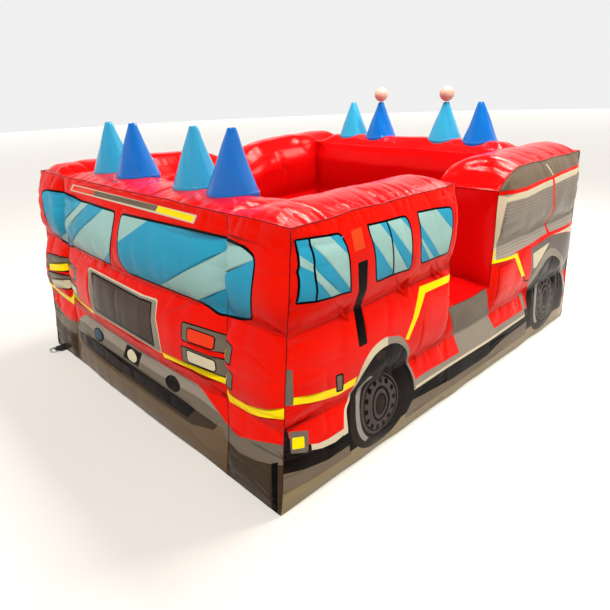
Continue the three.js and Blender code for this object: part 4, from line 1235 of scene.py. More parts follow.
def step_face(seed):
    """The outside of the entrance step, above the skirt."""
    def swell(y, z):
        near, far = y - GAP_FROM, GAP_TO - y
        made = bands(z, (0, 0.012), (0, LOW, STEP_TOP)) * both(near, far, 0.05)
        made = made + tied(y, z, seed, 0.0022, 0.05, (LOW,)) * both(near, far, 0.04)
        made = made + pucker(y, STEP_TOP - z, seed + 3, 0.0035, 0.05) * both(near, far, 0.04)
        return np.where(STEP_TOP - z < SEAM, 0, made)
    return swell


XI = INNER_X + HALF_CLEAR
UPPER_SWELL = (0.0,) + SIDE_SWELL[1:]
y_roof_front, y_roof_rear = float(front_y(ROOF)), float(rear_y(ROOF))


def level(value):
    """A function that gives the same value at every height."""
    return lambda z: np.full_like(np.asarray(z, float), value)


flat_cab_end, flat_rear_start = level(GAP_FROM - HALF_CLEAR), level(GAP_TO + HALF_CLEAR)
SIDE_PRINT = side_art()
FRONT_PRINT = front_art()
REAR_PRINT = rear_art()
END_TOP = float(shoulder(GAP_TO))

FRONT_INNER = (1, -INNER_Y, (-INNER_X, INNER_X), 0.04)
REAR_INNER = (1, INNER_Y, (-INNER_X, INNER_X), 0.06)
LEFT_INNER = (0, -INNER_X, (-INNER_Y, INNER_Y), 0.10)
CAB_INNER = (0, INNER_X, (-INNER_Y, GAP_FROM), 0.08)

CHAMBERS = [
    Chamber("front_wall", (-XI + 2 * HALF_CLEAR, XI - 2 * HALF_CLEAR), (front_y, -INNER_Y), ROOF, {
        "-y": end_face(-INNER_X, INNER_X, 20, FRONT_SWELL, middle=True),
        "+y": inner_face(-INNER_X, INNER_X, 30, roll=1.0),
        "top": roof_face((-INNER_X, INNER_X), (y_roof_front, -INNER_Y), 40, "x", (0.10, 0.10), 0.018,
                         FRONT_INNER),
    }, {"-y": FRONT_PRINT}, inner=FRONT_INNER),
    Chamber("rear_wall", (-XI + 2 * HALF_CLEAR, XI - 2 * HALF_CLEAR), (INNER_Y, rear_y), ROOF, {
        "+y": zip_seat(end_face(-INNER_X, INNER_X, 50, REAR_SWELL)),
        "-y": inner_face(-INNER_X, INNER_X, 60, roll=1.0),
        "top": roof_face((-INNER_X, INNER_X), (INNER_Y, y_roof_rear), 70, "x", (0.10, 0.10), 0.042,
                         REAR_INNER),
    }, {"+y": REAR_PRINT}, inner=REAR_INNER),
    Chamber("left_wall", (-HALF_W, -XI), (front_y, rear_y), saddle, {
        "-x": side_face(front_y, rear_y, 80, top=saddle),
        "+x": inner_face(-INNER_Y, INNER_Y, 90, top=saddle, roll=1.0, crush=True),
        "-y": end_face(-HALF_W, -INNER_X, 100, CORNER_SWELL, margin=CORNER),
        "+y": end_face(-HALF_W, -INNER_X, 110, CORNER_SWELL, margin=CORNER),
        "top": roof_face((-HALF_W, -INNER_X), (y_roof_front, y_roof_rear), 120, "y", (0.07, 0.10),
                         lambda s: np.interp(s, (-0.9, -0.4, 0.1, 0.5, 0.9),
                                             (0.046, 0.038, 0.034, 0.042, 0.056)), LEFT_INNER),
    }, {"-x": side_art(gap=False), "-y": FRONT_PRINT, "+y": REAR_PRINT}, inner=LEFT_INNER),
    Chamber("right_wall_cab", (XI, HALF_W), (front_y, flat_cab_end), ROOF, {
        "+x": side_face(front_y, flat_cab_end, 130, (0.16, 0.06), swells=UPPER_SWELL, crisp=0.7),
        "-x": inner_face(-INNER_Y, GAP_FROM, 140, roll=1.0),
        "-y": end_face(INNER_X, HALF_W, 150, CORNER_SWELL, margin=CORNER, crisp=0.7),
        "+y": gap_face(ROOF, 160),
        "top": roof_face((INNER_X, HALF_W), (y_roof_front, GAP_FROM), 170, "y", (0.16, 0.10), 0.030,
                         CAB_INNER, 0.6),
    }, {"+x": SIDE_PRINT, "-y": FRONT_PRINT}, skirt, CAB_INNER, ("top", "-y", "+x")),
    Chamber("right_wall_rear", (XI, HALF_W), (flat_rear_start, rear_y), shoulder, {
        "+x": side_face(flat_rear_start, rear_y, 180, (0.06, 0.16), top=shoulder, swells=UPPER_SWELL),
        "-x": inner_face(GAP_TO, INNER_Y, 190),
        "+y": end_face(INNER_X, HALF_W, 200, CORNER_SWELL, margin=CORNER),
        "-y": gap_face(END_TOP, 210),
        "top": roof_face((INNER_X, HALF_W), (GAP_TO, y_roof_rear), 220, "y", (0.14, 0.07)),
    }, {"+x": SIDE_PRINT, "+y": REAR_PRINT}, skirt),
    Chamber("entrance_step", (XI, HALF_W), (GAP_FROM + HALF_CLEAR, GAP_TO - HALF_CLEAR), STEP_TOP, {
        "+x": step_face(230),
        "-x": inner_face(GAP_FROM, GAP_TO, 240, 0.018, (0.0, STEP_TOP), STEP_TOP),
        "top": roof_face((INNER_X, HALF_W), (GAP_FROM, GAP_TO), 250, "y", (0.07, 0.07), 0.024),
    }, {"+x": SIDE_PRINT}, skirt),
]
CHAMBER_OF = {c.name: c for c in CHAMBERS}
for chamber in CHAMBERS:
    skin = chamber.build()
    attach(skin, "pen")
    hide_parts(chamber.name)


def on_face(chamber, face, a, b, lift=0.0):
    """A point on a chamber's surface, lifted off it, and the outward normal there."""
    c = CHAMBER_OF[chamber]
    ab = np.stack([np.atleast_1d(np.asarray(a, float)), np.atleast_1d(np.asarray(b, float))], 1)
    n = c.normals(face, ab)
    return c.place(face, ab) + n * lift, n


# ---- small meshes --------------------------------------------------------------------------


def join_parts(parts):
    """Stacks (vertices, faces) pairs into one."""
    vertices, faces, first = [], [], 0
    for v, f in parts:
        vertices.append(np.asarray(v, float))
        faces += [tuple(i + first for i in face) for face in f]
        first += len(v)
    return np.vstack(vertices), faces


def tube_faces(rings, sides, closed_loop=False):
    """The faces of a tube of rings of points, capped unless it closes on itself."""
    faces = []
    for r in range(rings if closed_loop else rings - 1):
        s = (r + 1) % rings
        for k in range(sides):
            m = (k + 1) % sides
            faces.append((r * sides + k, r * sides + m, s * sides + m, s * sides + k))
    if not closed_loop:
        faces.append(tuple(reversed(range(sides))))
        faces.append(tuple((rings - 1) * sides + k for k in range(sides)))
    return faces


def sweep(path, radius, sides, closed_loop=False):
    """A rod along a path; its radius may vary."""
    p = np.array(path, float)
    n = len(p)
    t = (np.roll(p, -1, 0) - np.roll(p, 1, 0)) if closed_loop else np.gradient(p, axis=0)
    t /= np.linalg.norm(t, axis=1)[:, None]
    first = np.cross(t[0], (0.31, 0.17, 0.93))
    u = first / np.linalg.norm(first)
    radii = np.broadcast_to(np.asarray(radius, float), (n,))
    angles = np.linspace(0, 2 * math.pi, sides, endpoint=False)
    vertices = []
    for k in range(n):
        u = u - t[k] * (u @ t[k])
        u /= np.linalg.norm(u)
        v = np.cross(t[k], u)
        ring = np.outer(np.cos(angles), u) + np.outer(np.sin(angles), v)
        vertices.append(p[k] + radii[k] * ring)
    return np.vstack(vertices), tube_faces(n, sides, closed_loop)


def revolve(profile, sides, place=None):
    """A closed shell about Z from a loop of (radius, height) pairs; place(r, h, angle) may bend it."""
    angles = np.linspace(0, 2 * math.pi, sides, endpoint=False)
    vertices = []
    for a in angles:
        for r, h in profile:
            rr, hh = place(r, h, a) if place else (r, h)
            vertices.append((rr * math.cos(a), rr * math.sin(a), hh))
    m = len(profile)
    faces = []
    for k in range(sides):
        j = (k + 1) % sides
        for i in range(m):
            n = (i + 1) % m
            faces.append((k * m + i, j * m + i, j * m + n, k * m + n))
    return np.array(vertices), faces


def sheet_faces(rows, columns):
    """The faces of a thin closed sheet: a grid of points, then the same grid on the other side."""
    n = rows * columns
    index = np.arange(n).reshape(rows, columns)
    corners = zip(index[:-1, :-1].ravel(), index[1:, :-1].ravel(), index[1:, 1:].ravel(),
                  index[:-1, 1:].ravel())
    faces = [face for a, b, c, d in corners for face in ((a, b, c, d), (n + d, n + c, n + b, n + a))]
    rim = [*index[:, 0], *index[-1, 1:], *index[-2::-1, -1], *index[0, -2:0:-1]]
    return faces + [(b, a, n + a, n + b) for a, b in zip(rim, rim[1:] + rim[:1])]


def block(low, high, bevel):
    """A box with bevelled edges."""
    low, high = np.array(low, float), np.array(high, float)
    mid, half = (low + high) / 2, (high - low) / 2
    b = min(bevel, half.min() * 0.9)
    rings = []
    for z, inset in ((-half[2], b), (-half[2] + b, 0), (half[2] - b, 0), (half[2], b)):
        hx, hy = half[0] - inset, half[1] - inset
        rings += [(-hx + b, -hy, z), (hx - b, -hy, z), (hx, -hy + b, z), (hx, hy - b, z),
                  (hx - b, hy, z), (-hx + b, hy, z), (-hx, hy - b, z), (-hx, -hy + b, z)]
    return np.array(rings) + mid, tube_faces(4, 8)


def add_piece(name, parts, material, body, slot, *nodes, sharp=None):
    """A finished piece from (vertices, faces) parts, riding a body, in place of its CAD nodes."""
    vertices, faces = join_parts(parts)
    made = mesh_object(name, vertices, faces, [material])
    if sharp is not None:
        made.data.set_sharp_from_angle(angle=math.radians(sharp))
    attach(made, body)
    if nodes:
        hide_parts(*nodes)
    return made


# ---- stitching -----------------------------------------------------------------------------
THREAD = hard("thread", "#5A0C0C", 0.7, grain=0.3)
STITCH, STITCH_GAP, THREAD_R = 0.007, 0.0055, 0.0007


def stitches(spots, normals):
    """Short threads that lie along a line of surface points."""
    lengths = np.append(0, np.cumsum(np.linalg.norm(np.diff(spots, axis=0), axis=1)))
    parts = []
    for start in np.arange(0.01, lengths[-1] - 0.02, STITCH + STITCH_GAP):
        along = start + np.arange(4) * STITCH / 3
        at = np.stack([np.interp(along, lengths, spots[:, i]) for i in range(3)], 1)
        n = np.array([np.interp(start, lengths, normals[:, i]) for i in range(3)])
        at += n * np.array([-0.0003, 0.0004, 0.0004, -0.0003])[:, None]
        parts.append(sweep(at, [THREAD_R * 0.6, THREAD_R, THREAD_R, THREAD_R * 0.6], 5))
    return parts


def seam_line(chamber, face, a0, b0, a1, b1):
    """Surface points along a straight line in a face's flat coordinates, and their normals."""
    t = np.linspace(0, 1, 160)
    return on_face(chamber, face, a0 + (a1 - a0) * t, b0 + (b1 - b0) * t)


BESIDE = 0.008  # from a seam to its stitching
FRONT_ROW, REAR_ROW = y_roof_front + BESIDE, y_roof_rear - BESIDE
SEWN = [seam_line(wall, "top", *ends) for wall, *ends in (
    ("front_wall", -INNER_X + 0.01, FRONT_ROW, INNER_X - 0.01, FRONT_ROW),
    ("rear_wall", -INNER_X + 0.01, REAR_ROW, INNER_X - 0.01, REAR_ROW),
    ("right_wall_cab", HALF_W - BESIDE, y_roof_front + 0.02, HALF_W - BESIDE, GAP_FROM - 0.01),
    ("right_wall_cab", INNER_X + 0.01, FRONT_ROW, HALF_W - 0.02, FRONT_ROW),
    ("right_wall_rear", HALF_W - BESIDE, GAP_TO + 0.01, HALF_W - BESIDE, y_roof_rear - 0.02),
    ("right_wall_rear", INNER_X + 0.01, GAP_TO + BESIDE, HALF_W - 0.01, GAP_TO + BESIDE),
    ("right_wall_rear", INNER_X + 0.01, REAR_ROW, HALF_W - 0.02, REAR_ROW),
    ("left_wall", -HALF_W + BESIDE, y_roof_front + 0.02, -HALF_W + BESIDE, y_roof_rear - 0.02),
    ("left_wall", -HALF_W + 0.02, FRONT_ROW, -INNER_X - 0.01, FRONT_ROW),
    ("left_wall", -HALF_W + 0.02, REAR_ROW, -INNER_X - 0.01, REAR_ROW),
    ("entrance_step", HALF_W - BESIDE, GAP_FROM + 0.01, HALF_W - BESIDE, GAP_TO - 0.01),
)]
add_piece("seam_stitching", [p for spots, normals in SEWN for p in stitches(spots, normals)], THREAD,
          "pen", "printed_vinyl")

CORD_R = 0.0015
WELT = vinyl("seam_welt", "#480806", rough=0.5, painted_seam_shade=False)
JOINED = [(wall, "top", *ends) for wall, *ends in (  # roof seams
    ("front_wall", -INNER_X, y_roof_front, INNER_X, y_roof_front),
    ("rear_wall", -INNER_X, y_roof_rear, INNER_X, y_roof_rear),
    ("right_wall_cab", HALF_W, y_roof_front, HALF_W, GAP_FROM - HALF_CLEAR),
    ("right_wall_cab", XI, y_roof_front, HALF_W, y_roof_front),
    ("right_wall_cab", XI, GAP_FROM - HALF_CLEAR, HALF_W, GAP_FROM - HALF_CLEAR),
    ("right_wall_rear", HALF_W, GAP_TO + HALF_CLEAR, HALF_W, y_roof_rear),
    ("right_wall_rear", XI, GAP_TO + HALF_CLEAR, HALF_W, GAP_TO + HALF_CLEAR),
    ("right_wall_rear", XI, y_roof_rear, HALF_W, y_roof_rear),
    ("left_wall", -HALF_W, y_roof_front, -HALF_W, y_roof_rear),
    ("left_wall", -HALF_W, y_roof_front, -XI, y_roof_front),
    ("left_wall", -HALF_W, y_roof_rear, -XI, y_roof_rear),
    ("entrance_step", HALF_W, GAP_FROM + HALF_CLEAR, HALF_W, GAP_TO - HALF_CLEAR),
)] + [(wall, face, x, low, x, high) for wall, face, x, low, high in (  # upright seams
    ("front_wall", "-y", -INNER_X, 0.02, ROOF), ("front_wall", "-y", INNER_X, 0.02, ROOF),
    ("rear_wall", "+y", -INNER_X, 0.02, ROOF), ("rear_wall", "+y", INNER_X, 0.02, ROOF),
    ("right_wall_cab", "-y", HALF_W, 0.02, ROOF), ("right_wall_rear", "+y", HALF_W, 0.02, ROOF),
    ("left_wall", "-y", -HALF_W, 0.02, ROOF), ("left_wall", "+y", -HALF_W, 0.02, ROOF),
    ("right_wall_cab", "+y", HALF_W, STEP_TOP, ROOF), ("right_wall_rear", "-y", HALF_W, STEP_TOP, END_TOP),
)]
add_piece("seam_welts", [sweep(seam_line(*seam)[0][::2], CORD_R, 6) for seam in JOINED], WELT, "pen",
          "printed_vinyl")

# ---- floor of the play area ----------------------------------------------------------------
FLOOR_T = 0.006


def floor_sheet():
    """A heavy sheet that lies on the ground, a little uneven, with its edge sewn to the walls."""
    nx, ny = 60, 66
    xs = np.linspace(-INNER_X + 0.002, INNER_X - 0.002, nx)
    ys = np.linspace(-INNER_Y + 0.002, INNER_Y - 0.002, ny)
    x, y = np.meshgrid(xs, ys, indexing="ij")
    waves = np.sin(x * 7 + 1.3 * np.sin(y * 5)) * np.sin(y * 6.1 + 0.7) + 0.5 * np.sin(x * 17 - y * 13)
    lift = 0.0035 * waves * quilt(INNER_X - abs(x), 0.1) * quilt(INNER_Y - abs(y), 0.1)
    top = np.stack([x, y, FLOOR_T + np.maximum(lift, -0.002)], 2).reshape(-1, 3)
    low = top * [1, 1, 0] + [0, 0, 0.0006]
    parts = [(np.vstack([top, low]), sheet_faces(nx, ny))]
    # the floor sheet takes the darker painted-shade red
    made = add_piece("floor_sheet_skin", parts, SHADED_RED, "pen", "red_vinyl", "floor_sheet", sharp=50)


# ---- jet cones -----------------------------------------------------------------------------
CONE_FABRIC = {
    "light": vinyl("cone_light", "#309CC6", rough=0.16, coat=0.25, gloss=0.3, painted_seam_shade=False),
    "dark": vinyl("cone_dark", "#0868C2", rough=0.15, coat=0.25, gloss=0.3, painted_seam_shade=False),
}
CONE_SKIN, CONE_HEM, CONE_HEIGHT = 0.003, 0.012, 0.238


def jet_cone(name, x, y, wall, material, slot, seed, lean):
    """A tapering sewn nozzle with a folded hem that follows the crown of the roof."""
    rng = np.random.default_rng(seed)
    sides = 72
    seam_at = rng.uniform(0.5, 2.5)
    waves = [(k, rng.uniform(0, 6.28), rng.uniform(0.3, 1.0)) for k in (2, 3, 5, 8, 13)]
    angles = np.linspace(0, 2 * math.pi, sides, endpoint=False)
    foot_x, foot_y = x + CONE_FOOT_R * np.cos(angles), y + CONE_FOOT_R * np.sin(angles)
    roof_z = on_face(wall, "top", foot_x, foot_y)[0][:, 2]
    calm = np.median(roof_z)
    foot_z = calm + 0.45 * np.clip(roof_z - calm, -0.02, 0.02)
    foot_of = dict(zip(np.round(angles, 6), foot_z))
    skirt_of = dict(zip(np.round(angles, 6), np.minimum(roof_z - 0.002, foot_z - 0.003)))

    def place(r, h, a):
        foot = foot_of[round(a, 6)]
        t = np.clip(h / CONE_HEIGHT, 0, 1)
        z = foot * (1 - t) + CONE_TOP * t if h > 0 else skirt_of[round(a, 6)]
        ripple = sum(size * math.sin(k * a + phase + 6 * t) for k, phase, size in waves)
        near = math.exp(-(((a - seam_at + math.pi) % (2 * math.pi) - math.pi) * max(r, 0.02) / 0.004) ** 2)
        gather = 0.0019 * ripple * math.exp(-h / 0.05) if h > CONE_HEM else 0
        belt = 0.0009 * ripple * math.sin(math.pi * t) ** 2
        return r + gather + belt + 0.0011 * near * (1 - t), z

    slope = (CONE_FOOT_R - CONE_TIP_R) / (CONE_HEIGHT - CONE_HEM)
    outer = [(CONE_FOOT_R + 0.0032, -0.006), (CONE_FOOT_R + 0.0042, 0.001),
             (CONE_FOOT_R + 0.004, CONE_HEM - 0.002), (CONE_FOOT_R + 0.003, CONE_HEM),
             (CONE_FOOT_R - 0.001, CONE_HEM + 0.0008)]
    heights = np.linspace(CONE_HEM + 0.006, CONE_HEIGHT - 0.0015, 14)
    belly = [(CONE_FOOT_R - slope * (h - CONE_HEM), h) for h in heights]
    rim = [(CONE_TIP_R - 0.0006, CONE_HEIGHT), (CONE_TIP_R - 0.0022, CONE_HEIGHT),
           (CONE_TIP_R - CONE_SKIN, CONE_HEIGHT - 0.0015)]
    back = [(r - CONE_SKIN, h) for r, h in reversed(belly[:-1])]
    profile = outer + belly + rim + back + [(CONE_FOOT_R - 0.004, CONE_HEM), (CONE_FOOT_R - 0.004, -0.006)]
    vertices, faces = revolve(profile, sides, place)
    tall = np.clip((vertices[:, 2] - foot_z.mean()) / 0.24, 0, 1)
    vertices[:, 0] += x + lean * tall ** 2
    vertices[:, 1] += y + 0.2 * lean * tall ** 2
    add_piece(f"{name}_sewn", [(vertices, faces)], material, "pen", slot, name, sharp=40)


CONE_LEAN = {"front": (0.010, 0.010, 0.012, 0.019), "rear": (0.0, 0.0, 0.0, -0.012)}
for n, cone_x in enumerate(CONE_X):
    shade = ("light", "dark")[n % 2]
    for end in ("front", "rear"):
        jet_cone(f"{end}_jet_cone_{n + 1}", cone_x, CONE_Y[end], f"{end}_wall", CONE_FABRIC[shade],
                 f"cone_fabric_{shade}", 300 + 10 * n + (end == "rear"), CONE_LEAN[end][n])
floor_sheet()

# ---- floating balls ------------------------------------------------------------------------
BALL = hard("ball", "#D9B19E", 0.42, grain=0.05)


def ball(n):
    """A light hollow ball with the fine line its mould leaves round it."""
    low, high = (np.array(c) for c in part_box(f"float_ball_{n}"))
    middle = np.array([(low[0] + high[0]) / 2, CONE_Y["rear"], (low[2] + high[2]) / 2])
    turns, rings = 56, 28
    vertices = [(0, 0, BALL_R)]
    for i in range(1, rings):
        v = math.pi * i / rings
        z = BALL_R * math.cos(v)
        ridge = 0.0004 * math.exp(-(z / 0.0016) ** 2)  # the moulding line
        for k in range(turns):
            u = 2 * math.pi * k / turns
            r = BALL_R * math.sin(v) + ridge
            vertices.append((r * math.cos(u), r * math.sin(u), z))
    vertices.append((0, 0, -BALL_R))
    last = len(vertices) - 1
    faces = [(0, 1 + k, 1 + (k + 1) % turns) for k in range(turns)]
    for i in range(rings - 2):
        for k in range(turns):
            a, b = 1 + i * turns + k, 1 + i * turns + (k + 1) % turns
            faces.append((a, a + turns, b + turns, b))
    first = 1 + (rings - 2) * turns
    faces += [(last, first + (k + 1) % turns, first + k) for k in range(turns)]
    tilt = np.array(Matrix.Rotation(0.5 + n, 3, Vector((1, 0.4, 0)).normalized()))
    add_piece(f"float_ball_{n}_moulded", [(np.array(vertices) @ tilt.T + middle, faces)], BALL,
              f"float_ball_{n}", "ball_plastic", f"float_ball_{n}")


ball(1)
ball(2)

# ---- anchor tabs and D-rings ---------------------------------------------------------------
WEBBING = webbing("webbing_black", "#17171A")
STEEL = hard("zinc_steel", "#B9BCC0", 0.28, 1.0, grain=0.08, scale=90)
BAR_AT, BAR_Z = 0.0488, 0.0052  # the ring's bar, from the wall and above the ground
ANCHORS = {  # place on the ground and the way it points
    "front_anchor": ((-0.970, -1.230), math.pi), "left_anchor": ((-1.067, -1.039), math.pi / 2),
    "rear_right_anchor": ((0.970, 1.219), 0.0), "rear_left_anchor": ((-0.970, 1.219), 0.0),
}


def set_down(points, at, turn):
    """Local (across, outwards, up) points, turned about the vertical and moved to the anchor."""
    c, s = math.cos(turn), math.sin(turn)
    return np.asarray(points) @ np.array([[c, s, 0], [-s, c, 0], [0, 0, 1]]) + np.array([at[0], at[1], 0])


def folded_strap(line, widths, thick):
    """A strap of rectangular section along (outwards, up) points; its widths may vary."""
    line = np.array(line, float)
    t = np.gradient(line, axis=0)
    n = np.stack([-t[:, 1], t[:, 0]], 1) / np.linalg.norm(t, axis=1)[:, None] * thick / 2
    rings = []
    for (v, z), (nv, nz), w in zip(line, n, widths):
        e = w / 2
        rings += [(-e, v - nv, z - nz), (e, v - nv, z - nz), (e, v + nv, z + nz), (-e, v + nv, z + nz)]
    return np.array(rings), [tuple(reversed(f)) for f in tube_faces(len(line), 4)]


def anchor(name, at, turn):
    """A webbing tab, folded round the ring's bar and sewn with a box and cross, and its D-ring."""
    turn_r = 0.0041  # of the fold round the bar
    round_bar = [(BAR_AT + turn_r * math.sin(a), BAR_Z - turn_r * math.cos(a))
                 for a in np.linspace(0, math.pi, 9)]
    line = [(v, 0.0011) for v in np.linspace(-0.006, 0.040, 9)] + round_bar \
        + [(0.040, 0.0068), (0.036, 0.0042)] + [(v, 0.0031) for v in np.linspace(0.032, 0.002, 8)]
    widths = [0.090 if v < 0.035 else 0.044 for v, _ in line]
    strap, faces = folded_strap(line, widths, 0.0016)
    parts = [(set_down(strap, at, turn), faces)]
    corners = ((-1, -1, 1, 1), (-1, 1, 1, -1), (-1, -1, 1, -1), (-1, 1, 1, 1))
    for u0, v0, u1, v1 in corners:  # a cross of stitching between two rows
        a, b = (np.array([u * 0.034, 0.018 + v * 0.010]) for u, v in ((u0, v0), (u1, v1)))
        for k in np.arange(0.02, 0.98, 0.09):
            p, q = a + (b - a) * k, a + (b - a) * (k + 0.055)
            run = [(*(p + (q - p) * f), 0.0041) for f in (0, 0.5, 1)]
            parts.append(sweep(set_down(run, at, turn), 0.0005, 5))
    add_piece(f"{name}_tab_sewn", parts, WEBBING, "pen", "webbing", f"{name}_tab", sharp=40)
    bow = [(-0.030, 0), (-0.015, 0), (0, 0), (0.015, 0), (0.030, 0), (0.031, 0.004), (0.030, 0.010),
           (0.0245, 0.0255), (0.013, 0.0322), (0, 0.0338), (-0.013, 0.0322), (-0.0245, 0.0255),
           (-0.030, 0.010), (-0.031, 0.004)]
    loop = [(u, BAR_AT + v, BAR_Z) for u, v in smooth(bow, 5, ring=True)]
    add_piece(f"{name}_ring_formed", [sweep(set_down(loop, at, turn), 0.0029, 14, closed_loop=True)], STEEL,
              f"{name}_ring", "steel", f"{name}_ring")


for anchor_name, (anchor_at, anchor_turn) in ANCHORS.items():
    anchor(anchor_name, anchor_at, anchor_turn)

# ---- inflation sleeve, strap and buckle ----------------------------------------------------
SLEEVE_X, SLEEVE_Z = -0.430, 0.190
NECK = (1.4425, 1.4725)  # where the strap draws the sleeve in on the nozzle
SLEEVE_END, SLEEVE_SKIN = 1.4915, 0.0016


def along_sleeve(profile, sides, place=None):
    """A shell turned about the sleeve's axis from (radius, y) pairs."""
    vertices, faces = revolve(profile, sides, place)
    return np.stack([vertices[:, 0] + SLEEVE_X, vertices[:, 2], SLEEVE_Z - vertices[:, 1]], 1), faces


def sleeve():
    """A fabric tube that bellies out with the air and is gathered under its strap."""
    rng = np.random.default_rng(5)
    folds = [(int(k), rng.uniform(0, 6.28), rng.uniform(0.5, 1)) for k in (11, 17, 23)]
    stations = smooth([(0.099, 1.196), (0.104, 1.225), (0.1075, 1.29), (0.103, 1.35), (0.094, 1.40),
                       (0.0838, 1.4425), (0.0836, 1.4725), (0.0885, SLEEVE_END)], 4)

    def place(r, h, a):
        t = math.exp(-((h - 1.425) / 0.03) ** 2) + 0.7 * math.exp(-((h - SLEEVE_END) / 0.010) ** 2)
        gather = sum(s * math.sin(k * a + p) for k, p, s in folds)
        long_fold = 0.0012 * math.sin(5 * a + 14 * h) * math.sin(math.pi * np.clip((h - 1.2) / 0.24, 0, 1))
        return r + 0.0016 * gather * t + long_fold, h

    outer = [(r, h) for r, h in stations]
    inner = [(r - SLEEVE_SKIN, h) for r, h in reversed(stations)]
    made = add_piece("inflation_sleeve_sewn", [along_sleeve(outer + inner, 96, place)], TOP, "pen",
                     "red_vinyl", "inflation_sleeve", sharp=50)
    a = np.linspace(0, 2 * math.pi, 72, endpoint=False)
    collar_x, collar_z = SLEEVE_X + 0.103 * np.cos(a), SLEEVE_Z + 0.103 * np.sin(a)
    collar, _ = on_face("rear_wall", "+y", collar_x, collar_z, 0.001)
    add_piece("sleeve_collar", [sweep(collar, 0.0045, 10, closed_loop=True)], TOP, "pen", "red_vinyl")


sleeve()
STRAP_R = 0.0858


def strap_ring():
    """The strap round the sleeve's neck, with its free end laid over it."""
    profile = [(STRAP_R - 0.0009, NECK[0] + 0.0035), (STRAP_R + 0.0009, NECK[0] + 0.0035),
               (STRAP_R + 0.0009, NECK[1] - 0.0035), (STRAP_R - 0.0009, NECK[1] - 0.0035)]
    tail = [(STRAP_R + 0.0022) * np.array([math.sin(t), math.cos(t)]) for t in np.linspace(0.16, 0.85, 14)]
    rings = []
    for dx, dz in tail:
        ux, uz = np.array([dx, dz]) / np.hypot(dx, dz) * 0.0008
        for y in (NECK[0] + 0.005, NECK[1] - 0.005):
            order = (1, -1) if y < 1.45 else (-1, 1)
            rings += [(SLEEVE_X + dx + k * ux, y, SLEEVE_Z + dz + k * uz) for k in order]
    parts = [along_sleeve(profile, 72), (np.array(rings), tube_faces(len(tail), 4))]
    add_piece("cinch_strap_woven", parts, WEBBING, "pen", "webbing", "cinch_strap", sharp=40)


strap_ring()

# ---- deflation zip -------------------------------------------------------------------------
LEAN = math.atan(REAR_FLARE / ROOF)
ZIP_Y = float(rear_y(ZIP_Z)) + ZIP_OUT
ZIP_BLACK = hard("zip_black", "#141416", 0.5, grain=0.3)


def on_zip(points):
    """Local (along, out of the wall, up the wall) points beside the zip."""
    x, y, z = np.asarray(points, float).T
    c, s = math.cos(LEAN), math.sin(LEAN)
    return np.stack([ZIP_X + x, ZIP_Y + y * c - z * s, ZIP_Z + y * s + z * c], 1)


def sheet_grid(xs, zs, surface, thick):
    """A thin closed sheet beside the zip; surface(x, z) gives how far it stands out."""
    x, z = np.meshgrid(xs, zs, indexing="ij")
    y = surface(x, z)
    near = np.stack([x, y - thick / 2, z], 2).reshape(-1, 3)
    far = np.stack([x, y + thick / 2, z], 2).reshape(-1, 3)
    return on_zip(np.vstack([near, far])), sheet_faces(*x.shape)


def zip_fastener():
    """The tape with its coil of teeth and a stop at each end."""
    xs = np.linspace(-ZIP_HALF, ZIP_HALF, 60)
    parts = [sheet_grid(xs, np.linspace(-0.016, 0.016, 7),
                        lambda x, z: 0.0022 + 0.0004 * np.sin(x * 90) * np.abs(z) / 0.016, 0.0012)]
    for n, x in enumerate(np.arange(-ZIP_HALF + 0.006, ZIP_HALF - 0.006, 0.0042)):
        up = 0.0016 if n % 2 else -0.0016
        tooth, tooth_faces = block((x - 0.0014, 0.0022, up - 0.0026), (x + 0.0014, 0.0040, up + 0.0026),
                                   0.0004)
        parts.append((on_zip(tooth), tooth_faces))
    for end in (-1, 1):
        stop, stop_faces = block((end * ZIP_HALF - 0.004, 0.002, -0.006),
                                 (end * ZIP_HALF + 0.004, 0.0042, 0.006), 0.0006)
        parts.append((on_zip(stop), stop_faces))
    add_piece("zip_tape_woven", parts, ZIP_BLACK, "pen", "zip_plastic", "zip_tape", sharp=40)


def zip_flap():
    """The cover flap, its turned-up hem, and the roll that it hangs from."""
    half, top, drop = ZIP_HALF + 0.015, 0.034, 0.066

    def hung(out):
        return lambda x, z: (out + 0.0012 * np.sin(x * 31 + 1) * ((top - z) / drop) ** 2
                             + 0.0006 * np.sin(x * 90 + z * 60))
    flap = sheet_grid(np.linspace(-half, half, 70), np.linspace(top - drop, top, 14), hung(0.0165), 0.0011)
    hem = sheet_grid(np.linspace(-half + 0.001, half - 0.001, 70), np.linspace(-0.0318, -0.022, 4),
                     hung(0.0176), 0.0010)
    made = add_piece("zip_flap_sewn", [flap, hem], TOP, "zip_flap", "red_vinyl", "zip_flap", sharp=40)
    path = on_zip([(x, 0.0095 + 0.0005 * math.sin(40 * x), 0.045) for x in np.linspace(-half, half, 50)])
    add_piece("zip_flap_hem_rolled", [sweep(path, [0.004] + [0.0078] * 48 + [0.004], 12)], TOP, "pen",
              "red_vinyl", "zip_flap_hem", sharp=60)


zip_fastener()
zip_flap()

